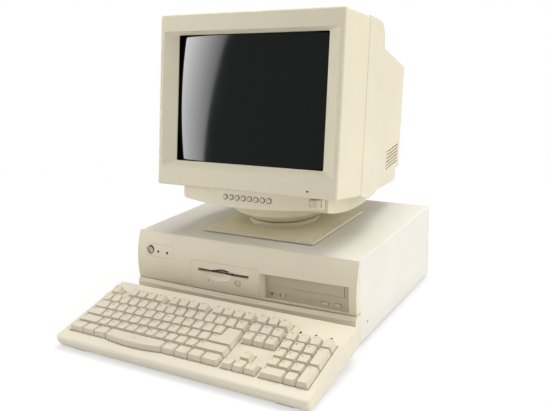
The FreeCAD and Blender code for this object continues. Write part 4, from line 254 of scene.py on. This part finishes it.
def key_caps(material):
    """One piece of keycaps for each group of keys, which replaces the group's node."""
    groups = {}
    for node, x, row, w, d, _ in key_list():
        x0, x1, y0, y1 = key_corners(x, row, w, d)
        low_corners, top_corners = rectangle(x0, x1, y0, y1), rectangle(
            x0 + CAP_TOP_SIDE, x1 - CAP_TOP_SIDE, y0 + CAP_TOP_FRONT, y1 - CAP_TOP_REAR)
        centre = np.array([(x0 + x1) / 2, (y0 + CAP_TOP_FRONT + y1 - CAP_TOP_REAR) / 2])
        span = (x1 - x0) / 2 - CAP_TOP_SIDE
        dish, bow = CAP_DISH, 0.0
        if node == "space_bar":
            dish, bow = -SPACE_CROWN, SPACE_BOW
        if node == "enter_key":
            ux0, _, _, uy1 = key_corners(13.5, 2.0, 1.5, 2.0)
            low_corners = [(x0, y0), (x1, y0), (x1, uy1), (ux0, uy1), (ux0, y1), (x0, y1)]
            a, b, f, r = CAP_TOP_SIDE, CAP_TOP_SIDE, CAP_TOP_FRONT, CAP_TOP_REAR
            top_corners = [(x0 + a, y0 + f), (x1 - b, y0 + f), (x1 - b, uy1 - r), (ux0 + a, uy1 - r),
                           (ux0 + a, y1 - r), (x0 + a, y1 - r)]
            centre = np.array([(ux0 + x1) / 2, (y0 + y1) / 2])
            dish = 0.0
        low = rounded_outline(low_corners, CAP_LOW_CORNER)
        top = rounded_outline(top_corners, CAP_TOP_CORNER)
        points, quads, fan = cap_surface(low, top, ROW_HEIGHT[row], ROW_RAKE[row], centre, span, dish, bow)
        groups.setdefault(node, []).append((points, quads, fan))
    for node, caps in groups.items():
        points, faces = [], []
        base = 0
        for cap, quads, fan in caps:
            points.append(cap)
            faces += (quads + base).tolist() + (fan + base).tolist()
            base += len(cap)
        piece = mesh_piece(node + "_caps", np.concatenate(points), faces, material, node,
                           matrix=DECK)
        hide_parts(node)


def legends(material):
    """Plain letters and words on the keys, near the rear left of each top."""
    groups = {}
    for node, x, row, w, d, word in key_list():
        if word:
            groups.setdefault(node, []).append((x, row, w, d, word))
    for node, marks in groups.items():
        points, faces, base = [], [], 0
        for x, row, w, d, word in marks:
            x0, _, y0, y1 = key_corners(x, row, w, d)
            size = LETTER_SIZE if len(word) == 1 else WORD_SIZE
            flat = letter_mesh(word, size)
            left = x0 + CAP_TOP_SIDE + 1.9
            base_line = (key_corners(x, row, w, 1.0)[3] if d < 2 else y1) - CAP_TOP_REAR - size * 0.72 - 1.6
            flat_points = flat[0] + np.array([left, base_line, 0.0])
            span = (key_corners(x, row, w, d)[1] - x0) / 2 - CAP_TOP_SIDE
            centre = x0 + CAP_TOP_SIDE + span
            depth = (y1 - y0 - CAP_TOP_FRONT - CAP_TOP_REAR) / 2
            middle = y0 + CAP_TOP_FRONT + depth
            s = (flat_points[:, 0] - centre) / span
            dish = 0.0 if node == "enter_key" else CAP_DISH
            flat_points[:, 2] = (ROW_HEIGHT[row] - ROW_RAKE[row] * (flat_points[:, 1] - middle) / depth
                                 - dish * (1 - s ** 2) + LEGEND_LIFT)
            points.append(flat_points)
            faces += [[v + base for v in f] for f in flat[1]]
            base += len(flat_points)
        mesh_piece(node + "_legends", np.concatenate(points), faces, material, node,
                   smooth=False, matrix=DECK)


def letter_mesh(word, size):
    """A word as flat faces: point rows in millimetres and face index lists."""
    curve = bpy.data.curves.new("word", "FONT")
    curve.body = word
    curve.size = size
    curve.resolution_u = 2
    holder = bpy.data.objects.new("word", curve)
    mesh = bpy.data.meshes.new_from_object(holder)
    flat = np.empty(len(mesh.vertices) * 3)
    mesh.vertices.foreach_get("co", flat)
    faces = [list(p.vertices) for p in mesh.polygons]
    bpy.data.objects.remove(holder)
    bpy.data.curves.remove(curve)
    bpy.data.meshes.remove(mesh)
    return flat.reshape(-1, 3), faces


# Finishes

class Finish:
    """A material under construction, with short names for its nodes."""

    def __init__(self, name):
        self.material = bpy.data.materials.new(name)
        self.material.use_nodes = True
        self.tree = self.material.node_tree
        self.shader = self.tree.nodes["Principled BSDF"]
        self.place = self.tree.nodes.new("ShaderNodeTexCoord").outputs["Object"]

    def join(self, start, end):
        """Links an output to an input."""
        self.tree.links.new(start, end)

    def noise(self, scale, detail=2.0, rough=0.5):
        """Cloudy values from 0 to 1 that stay with the object."""
        node = self.tree.nodes.new("ShaderNodeTexNoise")
        node.inputs["Scale"].default_value = scale
        node.inputs["Detail"].default_value = detail
        node.inputs["Roughness"].default_value = rough
        self.join(self.place, node.inputs["Vector"])
        return node.outputs["Fac"]

    def spread(self, value, low, high, from_low=0.3, from_high=0.7):
        """Maps one range of values to another."""
        node = self.tree.nodes.new("ShaderNodeMapRange")
        limits = {"From Min": from_low, "From Max": from_high, "To Min": low, "To Max": high}
        for name, number in limits.items():
            node.inputs[name].default_value = number
        self.join(value, node.inputs["Value"])
        return node.outputs["Result"]

    def blend(self, share, first, second):
        """Mixes two colours by a share."""
        node = self.tree.nodes.new("ShaderNodeMix")
        node.data_type = "RGBA"
        node.inputs[6].default_value = (*first, 1.0)
        node.inputs[7].default_value = (*second, 1.0)
        self.join(share, node.inputs[0])
        return node.outputs[2]

    def colour(self, low, high, scale):
        """Base colour in patches between two tones."""
        share = self.spread(self.noise(scale), 0.0, 1.0)
        self.join(self.blend(share, low, high), self.shader.inputs["Base Color"])

    def roughness(self, low, high, scale):
        """Gloss in patches between two levels."""
        self.join(self.spread(self.noise(scale), low, high), self.shader.inputs["Roughness"])

    def grain(self, scale, height, edge=0.0):
        """Fine raised grain; edge rounds the sharp edges in the shading."""
        bump = self.tree.nodes.new("ShaderNodeBump")
        bump.inputs["Distance"].default_value = height
        bump.inputs["Strength"].default_value = 1.0
        self.join(self.noise(scale, 3.0), bump.inputs["Height"])
        if edge:
            bevel = self.tree.nodes.new("ShaderNodeBevel")
            bevel.samples = 4
            bevel.inputs["Radius"].default_value = edge
            self.join(bevel.outputs["Normal"], bump.inputs["Normal"])
        self.join(bump.outputs["Normal"], self.shader.inputs["Normal"])

    def set(self, **values):
        """Sets plain values on the shader."""
        for name, value in values.items():
            self.shader.inputs[name.replace("_", " ")].default_value = value
        return self


def moulded(name, colour, rough=0.55, grain=1500.0, height=0.00006, edge=0.0008):
    """Grained moulded plastic with a faint yellowing in broad patches."""
    f = Finish(name)
    c = np.array(colour)
    f.colour(tuple(c * 0.965), tuple(np.clip(c * np.array([1.02, 1.01, 0.99]), 0, 1)), 9.0)
    f.roughness(rough - 0.05, rough + 0.06, 300.0)
    f.grain(grain, height, edge)
    return f.material


def plain_metal(name, colour, rough=0.35, metal=1.0, edge=0.0004):
    """Sheet metal with fine streaks in its gloss."""
    f = Finish(name)
    c = np.array(colour)
    f.colour(tuple(c * 0.93), tuple(c), 40.0)
    f.roughness(rough - 0.06, rough + 0.1, 120.0)
    f.grain(900.0, 0.00002, edge)
    f.set(Metallic=metal)
    return f.material


def face_glass(name):
    """Dark screen glass: nearly black with a green cast, and a hard gloss."""
    f = Finish(name)
    f.colour((0.003, 0.0045, 0.0035), (0.004, 0.006, 0.005), 6.0)
    f.roughness(0.05, 0.09, 14.0)
    f.set(IOR=1.5, Specular_IOR_Level=0.4)
    return f.material


def clear_lens(name, colour):
    """Tinted lamp lens."""
    f = Finish(name)
    c = np.array(colour)
    f.colour(tuple(c * 0.85), tuple(c), 400.0)
    f.roughness(0.18, 0.26, 200.0)
    return f.material


def circuit_board(name):
    """Green lacquered board."""
    f = Finish(name)
    f.colour((0.02, 0.11, 0.05), (0.03, 0.17, 0.08), 120.0)
    f.roughness(0.3, 0.45, 200.0)
    f.grain(600.0, 0.00003)
    return f.material


finishes = {
    "case_plastic": moulded("case_front_beige", (0.79, 0.725, 0.57)),
    "button_plastic": moulded("button_beige", (0.70, 0.625, 0.49), 0.5),
    "drive_plastic": moulded("drive_grey_beige", (0.56, 0.51, 0.385)),
    "painted_steel": moulded("case_enamel", (0.78, 0.755, 0.69), 0.45, 700.0, 0.00008),
    "zinc_steel": plain_metal("zinc_sheet", (0.62, 0.63, 0.64)),
    "screw_steel": plain_metal("screw_steel", (0.58, 0.59, 0.60), 0.28),
    "lamp_lens": clear_lens("lamp_lens", (0.06, 0.08, 0.05)),
    "rubber": moulded("black_rubber", (0.03, 0.03, 0.03), 0.8, 900.0),
    "fan_plastic": moulded("black_plastic", (0.025, 0.025, 0.027), 0.5),
    "circuit_board": circuit_board("board_green"),
    "cast_aluminium": plain_metal("cast_aluminium", (0.70, 0.71, 0.72), 0.4),
    "speaker_black": moulded("speaker_cone", (0.02, 0.02, 0.02), 0.8),
    "ribbon_cable": moulded("ribbon_grey", (0.45, 0.45, 0.46), 0.6, 300.0),
    "monitor_plastic": moulded("monitor_cream", (0.78, 0.725, 0.56)),
    "tube_glass": face_glass("screen_glass"),
    "keyboard_plastic": moulded("keyboard_cream", (0.79, 0.735, 0.60)),
    "switch_film": moulded("switch_film", (0.5, 0.51, 0.49), 0.4, 300.0),
    "key_plastic": moulded("key_cream", (0.74, 0.68, 0.55), 0.5),
}

# Keyboard housing

KB_UNDERCUT = 3.5
KB_UNDERCUT_DEPTH = 15.0
KB_FACE_LOW = 12.1


def undercut_shells():
    """Copies of the two keyboard shells whose front leans back below the lip:
    y' = y + U a b, with a falling from 1 at the bottom to 0 at the front face
    and b falling from 1 at the front to 0 at the undercut's depth."""
    stand = Matrix.Translation((0, KB_FRONT_Y + CASE_FRONT, KB_PAD_H)) @ Matrix.Rotation(KB_LEAN, 4, "X")
    place = np.array(Matrix.Scale(MM, 4) @ stand)
    back = np.linalg.inv(place)
    for name in ("keyboard_top_shell", "keyboard_bottom_shell"):
        node = nodes[name]
        mesh = node.data.copy()
        flat = np.empty(len(mesh.vertices) * 3)
        mesh.vertices.foreach_get("co", flat)
        world = np.array(node.matrix_world)
        own = placed(placed(flat.reshape(-1, 3), world), back)
        low = np.clip((KB_FACE_LOW - own[:, 2]) / KB_FACE_LOW, 0, 1)
        near = np.clip((KB_UNDERCUT_DEPTH - own[:, 1]) / KB_UNDERCUT_DEPTH, 0, 1)
        own[:, 1] += KB_UNDERCUT * low * near
        mesh.vertices.foreach_set("co", placed(own, place).ravel())
        mesh.update()
        piece = bpy.data.objects.new(name + "_front", mesh)
        bpy.context.scene.collection.objects.link(piece)
        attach(piece, "keyboard")
        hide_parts(name)


# Fine pieces on the monitor

def grid_faces(rows, columns):
    """Quads of a grid whose points run along the columns first."""
    i, j = np.meshgrid(np.arange(rows - 1), np.arange(columns - 1), indexing="ij")
    k = i * columns + j
    return np.stack([k, k + 1, k + columns + 1, k + columns], axis=-1).reshape(-1, 4)


def screen_face():
    """Polished face of the tube: part of a ball of radius R,
    y = c - sqrt(R^2 - x^2 - z^2), a hair in front of the glass."""
    middle = (GLASS_LOW + GLASS_HIGH) / 2
    up, across = np.linspace(GLASS_LOW, GLASS_HIGH, 40), np.linspace(-GLASS_X, GLASS_X, 56)
    z, x = np.meshgrid(up, across, indexing="ij")
    crown = (139.0 ** 2 + 104.0 ** 2) / (2 * FACE_R)
    y = GLASS_EDGE_Y - crown + FACE_R - np.sqrt(FACE_R ** 2 - x ** 2 - (z - middle) ** 2) - 0.5
    points = np.stack([x, y, z], -1).reshape(-1, 3)
    mesh_piece("screen_face", points, grid_faces(40, 56), finishes["tube_glass"], "monitor",
               matrix=MONITOR)


def button_rings(ink):
    """Dark gaps round the strip's buttons: flat rings between two radii on the
    bowed face, y = front + bow (x / half)^2."""
    turn = np.linspace(0, 2 * math.pi, 33)[:-1]
    points, faces = [], []
    for i in range(BUTTON_COUNT):
        x0 = BUTTON_X + BUTTON_PITCH * i
        for r in (BUTTON_R - 0.1, BUTTON_R + 1.0):
            x = x0 + r * np.cos(turn)
            y = STRIP_FRONT + STRIP_BOW * (x / STRIP_X) ** 2 - 0.5
            points.append(np.stack([x, y, BUTTON_Z + r * np.sin(turn)], -1))
        faces.append(loop_faces(2, 32, i * 64)[:, ::-1])
    mesh_piece("button_rings", np.concatenate(points), np.concatenate(faces), ink, "monitor",
               smooth=False, matrix=MONITOR)


def strip_marks(ink):
    """Small plain signs under the strip's buttons, upright on the strip's face."""
    points, faces, base = [], [], 0
    for i, sign in enumerate("-+-+-+-+"):
        flat, polygons = letter_mesh(sign, 3.4)
        x = BUTTON_X + BUTTON_PITCH * i + flat[:, 0] - 1.0
        y = STRIP_FRONT + STRIP_BOW * (x / STRIP_X) ** 2 - 0.1
        points.append(np.stack([x, y, BUTTON_Z - 9.0 + flat[:, 1]], -1))
        faces += [[v + base for v in f] for f in polygons]
        base += len(flat)
    mesh_piece("strip_marks", np.concatenate(points), faces, ink, "monitor",
               smooth=False, matrix=MONITOR)


def laid_on(name, x, z):
    """Depth of a node's front surface at each x, z of the front view, in mm."""
    node = nodes[name]
    back = node.matrix_world.inverted()
    along = back.to_3x3() @ Vector((0, 1, 0))
    depth = []
    for a, c in zip(x.ravel(), z.ravel()):
        found, spot, _, _ = node.ray_cast(back @ Vector((a * MM, -1.0, c * MM)), along)
        depth.append((node.matrix_world @ spot).y / MM if found else np.nan)
    depth = np.array(depth)
    return np.where(np.isnan(depth), np.nanmin(depth), depth).reshape(x.shape) - 0.06


def front_ribbon(name, path, width, ink, node="front_bezel", closed=True):
    """Thin band laid on a front face: two rows of points, half the width to
    either side of a path given as x, z rows."""
    path = np.asarray(path, float)
    ahead = np.roll(path, -1, axis=0) - np.roll(path, 1, axis=0)
    if not closed:
        ahead[0], ahead[-1] = path[1] - path[0], path[-1] - path[-2]
    length = np.linalg.norm(ahead, axis=1, keepdims=True)
    side = np.stack([-ahead[:, 1], ahead[:, 0]], -1) / length * width / 2
    x = np.stack([path[:, 0] + side[:, 0], path[:, 0] - side[:, 0]])
    z = np.stack([path[:, 1] + side[:, 1], path[:, 1] - side[:, 1]])
    points = np.stack([x, laid_on(node, x, z), z], -1).reshape(-1, 3) * MM
    faces = loop_faces(2, len(path)) if closed else grid_faces(2, len(path))
    mesh_piece(name, points, faces, ink, "system_unit", smooth=False)


def circle(x, z, radius, count=40):
    """Rows of x, z round a circle."""
    turn = np.linspace(0, 2 * math.pi, count + 1)[:-1]
    return np.stack([x + radius * np.cos(turn), z + radius * np.sin(turn)], -1)


def front_marks(dark, faint, pale):
    """Gaps and outlines of the case front: the power button's gap, the lamps'
    rims, painted shade on the stepped edges of the two inset fields, the eject
    button's gap, a painted shadow in the finger scoop over the diskette slot,
    and a painted highlight on the lower edge of the recess under it."""
    front_ribbon("power_gap", circle(POWER_X, POWER_Z, POWER_R + 0.5), 1.1, dark)
    for i, x in enumerate(CASE_LIGHT_X):
        front_ribbon("lamp_rim_%d" % i, circle(x, CASE_LIGHT_Z, CASE_LIGHT_R + 0.4, 16), 1.0, dark)
    # Painted shade: faint lines round the two inset fields stand in for the shade on their stepped edges.
    front_ribbon("power_field_painted_shade", rounded_outline(rectangle(*POWER_FIELD), 5.0), 0.5, faint)
    front_ribbon("drive_field_painted_shade", rounded_outline(rectangle(*DRIVE_FIELD), 8.0), 0.45, faint)
    front_ribbon("eject_gap", circle(EJECT_X, EJECT_Z, EJECT_R + 0.5), 0.7, faint)
    s = np.linspace(-1, 1, 41)
    # Painted shadow: a dark band over the diskette slot stands in for the shade in the finger scoop.
    scoop_shadow = np.stack([SLOT_X + 22.0 * s, SLOT_Z + 1.4 + 3.4 * (1 - s ** 2) ** 2], -1)
    front_ribbon("slot_scoop_painted_shadow", scoop_shadow, 3.2, dark, closed=False)
    # Painted highlight: a pale band on the lower edge of the recess under the slot stands in for light catching
    # that edge.
    sill_highlight = np.stack([SLOT_X + 34.0 * s, SLOT_Z - 12.0 + 5.5 * s ** 2], -1)
    front_ribbon("recess_painted_highlight", sill_highlight, 0.9, pale, closed=False)


def housing_seam(ink):
    """Dark line of the joint between the two housing halves: a narrow ribbon
    up one side, over the top and down the other, round the edges' radius."""
    r, lift = 4.0, 0.07
    turn = np.linspace(0, math.pi / 2, 6)
    h, t = MON_HALF + lift, MON_H + lift
    x = np.concatenate([[h], h - r + r * np.cos(turn), -(h - r) - r * np.sin(turn), [-h]])
    z = np.concatenate([[2.0], t - r + r * np.sin(turn), t - r + r * np.cos(turn), [2.0]])
    rows = [np.stack([x, np.full_like(x, MON_SEAM + dy), z], -1) for dy in (-0.35, 0.35)]
    mesh_piece("housing_seam", np.concatenate(rows), grid_faces(2, len(x)), ink, "monitor",
               smooth=False, matrix=MONITOR)


# Floor, light and camera

def floor_finish():
    """White floor: a share of its own white for the eye, the rest from the lamps,
    so that it keeps the object's shadow."""
    f = Finish("white_floor")
    f.colour((0.90, 0.90, 0.90), (0.92, 0.92, 0.92), 0.7)
    f.set(Roughness=0.9)
    glow = f.tree.nodes.new("ShaderNodeEmission")
    glow.inputs["Strength"].default_value = 1.0
    path = f.tree.nodes.new("ShaderNodeLightPath")
    far = f.tree.nodes.new("ShaderNodeVectorMath")
    far.operation = "LENGTH"
    f.join(f.place, far.inputs[0])
    share = f.tree.nodes.new("ShaderNodeMath")
    share.operation = "MULTIPLY"
    f.join(f.spread(far.outputs["Value"], 0.55, 1.0, 0.5, 1.6), share.inputs[1])
    mix = f.tree.nodes.new("ShaderNodeMixShader")
    out = f.tree.nodes["Material Output"]
    f.join(path.outputs["Is Camera Ray"], share.inputs[0])
    f.join(share.outputs[0], mix.inputs[0])
    f.join(f.shader.outputs[0], mix.inputs[1])
    f.join(glow.outputs[0], mix.inputs[2])
    f.join(mix.outputs[0], out.inputs["Surface"])
    return f.material


def floor():
    """A level sheet, wide enough to fill the view: x and y from -6 to 6 m."""
    x, y = np.meshgrid(np.linspace(-6, 6, 2), np.linspace(-6, 8, 2), indexing="ij")
    points = np.stack([x, y, np.full_like(x, -0.0002)], -1).reshape(-1, 3)
    new_mesh("floor", points, [[0, 2, 3, 1]], floor_finish())


def studio_world(ambient=0.34):
    """Even light for the object, plain white for the eye and for reflections."""
    world = bpy.data.worlds.new("studio")
    bpy.context.scene.world = world
    world.use_nodes = True
    tree = world.node_tree
    background = tree.nodes["Background"]
    background.inputs["Color"].default_value = (1, 1, 1, 1)
    path = tree.nodes.new("ShaderNodeLightPath")
    seen = tree.nodes.new("ShaderNodeMath")
    seen.operation = "MAXIMUM"
    tree.links.new(path.outputs["Is Camera Ray"], seen.inputs[0])
    tree.links.new(path.outputs["Is Transmission Ray"], seen.inputs[1])
    level = tree.nodes.new("ShaderNodeMapRange")
    level.inputs["To Min"].default_value = ambient
    level.inputs["To Max"].default_value = 1.0
    tree.links.new(seen.outputs[0], level.inputs["Value"])
    tree.links.new(level.outputs["Result"], background.inputs["Strength"])


CARD_Y = -1.5
CARD_X = (-2.5, -1.31)
CARD_Z = (-0.1, 1.7)
CARD_SLANT = 0.13


def reflected_card():
    """Tall bright card that only the screen glass mirrors: it stands in front
    and to the left, and fades towards its right edge."""
    f = Finish("card_glow")
    glow = f.tree.nodes.new("ShaderNodeEmission")
    dark = f.tree.nodes.new("ShaderNodeBsdfTransparent")
    path = f.tree.nodes.new("ShaderNodeLightPath")
    split = f.tree.nodes.new("ShaderNodeSeparateXYZ")
    f.join(f.place, split.inputs[0])
    f.join(f.spread(split.outputs["X"], 17.0, 3.0, CARD_X[0] + 0.45, CARD_X[1]), glow.inputs["Strength"])
    mix = f.tree.nodes.new("ShaderNodeMixShader")
    f.join(path.outputs["Is Glossy Ray"], mix.inputs[0])
    f.join(dark.outputs[0], mix.inputs[1])
    f.join(glow.outputs[0], mix.inputs[2])
    f.join(mix.outputs[0], f.tree.nodes["Material Output"].inputs["Surface"])
    points = [(CARD_X[0], CARD_Y, CARD_Z[0]), (CARD_X[1] - CARD_SLANT, CARD_Y, CARD_Z[0]),
              (CARD_X[1] + CARD_SLANT * 0.5, CARD_Y, CARD_Z[1]), (CARD_X[0], CARD_Y, CARD_Z[1])]
    new_mesh("reflected_card", points, [[3, 2, 1, 0]], f.material)


def soft_lamp(name, place, target, size, power):
    """Square area lamp turned towards a point."""
    lamp = bpy.data.lights.new(name, "AREA")
    lamp.size = size
    lamp.energy = power
    holder = bpy.data.objects.new(name, lamp)
    holder.location = place
    holder.visible_glossy = False
    holder.rotation_euler = (Vector(target) - Vector(place)).to_track_quat("-Z", "Y").to_euler()
    bpy.context.scene.collection.objects.link(holder)


CAMERA_PLACE = Vector((0.5890, -0.9770, 0.4875))
CAMERA_YAW = math.radians(30.57)
CAMERA_PITCH = math.radians(15.09)
CAMERA_ROLL = math.radians(2.50)
FOCAL_PIXELS = 684.5
FRAME_WIDTH = 548
SENSOR = 36.0


def camera():
    """Camera from its yaw, pitch and roll: ahead = (-sin y cos p, cos y cos p, -sin p)."""
    sy, cy = math.sin(CAMERA_YAW), math.cos(CAMERA_YAW)
    sp, cp = math.sin(CAMERA_PITCH), math.cos(CAMERA_PITCH)
    ahead = Vector((-sy * cp, cy * cp, -sp))
    right = Vector((cy, sy, 0))
    below = ahead.cross(right)
    c, s = math.cos(CAMERA_ROLL), math.sin(CAMERA_ROLL)
    across = right * c + below * s
    down = below * c - right * s
    data = bpy.data.cameras.new("view")
    data.sensor_width = SENSOR
    data.lens = FOCAL_PIXELS / FRAME_WIDTH * SENSOR
    holder = bpy.data.objects.new("view", data)
    turn = Matrix((across, -down, -ahead)).transposed().to_4x4()
    holder.matrix_world = Matrix.Translation(CAMERA_PLACE) @ turn
    bpy.context.scene.collection.objects.link(holder)
    bpy.context.scene.camera = holder


for entry in frame["record"]["subparts"]:
    node = nodes[entry["node"]]
    node.data.materials.clear()
    node.data.materials.append(finishes[entry["material_slot"]])

undercut_shells()
key_caps(finishes["key_plastic"])
ink = moulded("legend_ink", (0.13, 0.12, 0.11), 0.6)
shadow_line = moulded("joint_shadow", (0.16, 0.13, 0.09), 0.8)
# Dark colour of the real gaps round the buttons and lamps, and of the painted shadow over the diskette slot.
deep_line = moulded("deep_shadow", (0.045, 0.035, 0.025), 0.8)
# Faint line colour: the eject button's real gap, and painted shade on the inset fields' stepped edges.
gap_and_painted_shade_line = moulded("faint_gap_and_painted_shade", (0.46, 0.41, 0.31), 0.7)
# Painted highlight colour for the lit lower edge of the recess under the diskette slot.
painted_highlight_line = moulded("painted_highlight_edge", (0.86, 0.82, 0.70), 0.5)
legends(ink)
screen_face()
button_rings(deep_line)
housing_seam(shadow_line)
strip_marks(ink)
front_marks(deep_line, gap_and_painted_shade_line, painted_highlight_line)

floor()
studio_world()
reflected_card()
soft_lamp("top_lamp", (0.3, 0.6, 2.5), (0, 0, 0.2), 2.0, 60.0)
soft_lamp("right_lamp", (2.4, 0.0, 1.3), (0, 0, 0.2), 1.6, 23.0)
soft_lamp("left_lamp", (-2.1, -1.0, 1.1), (0, 0, 0.3), 1.1, 19.0)
camera()
bpy.context.scene.view_settings.view_transform = "Standard"
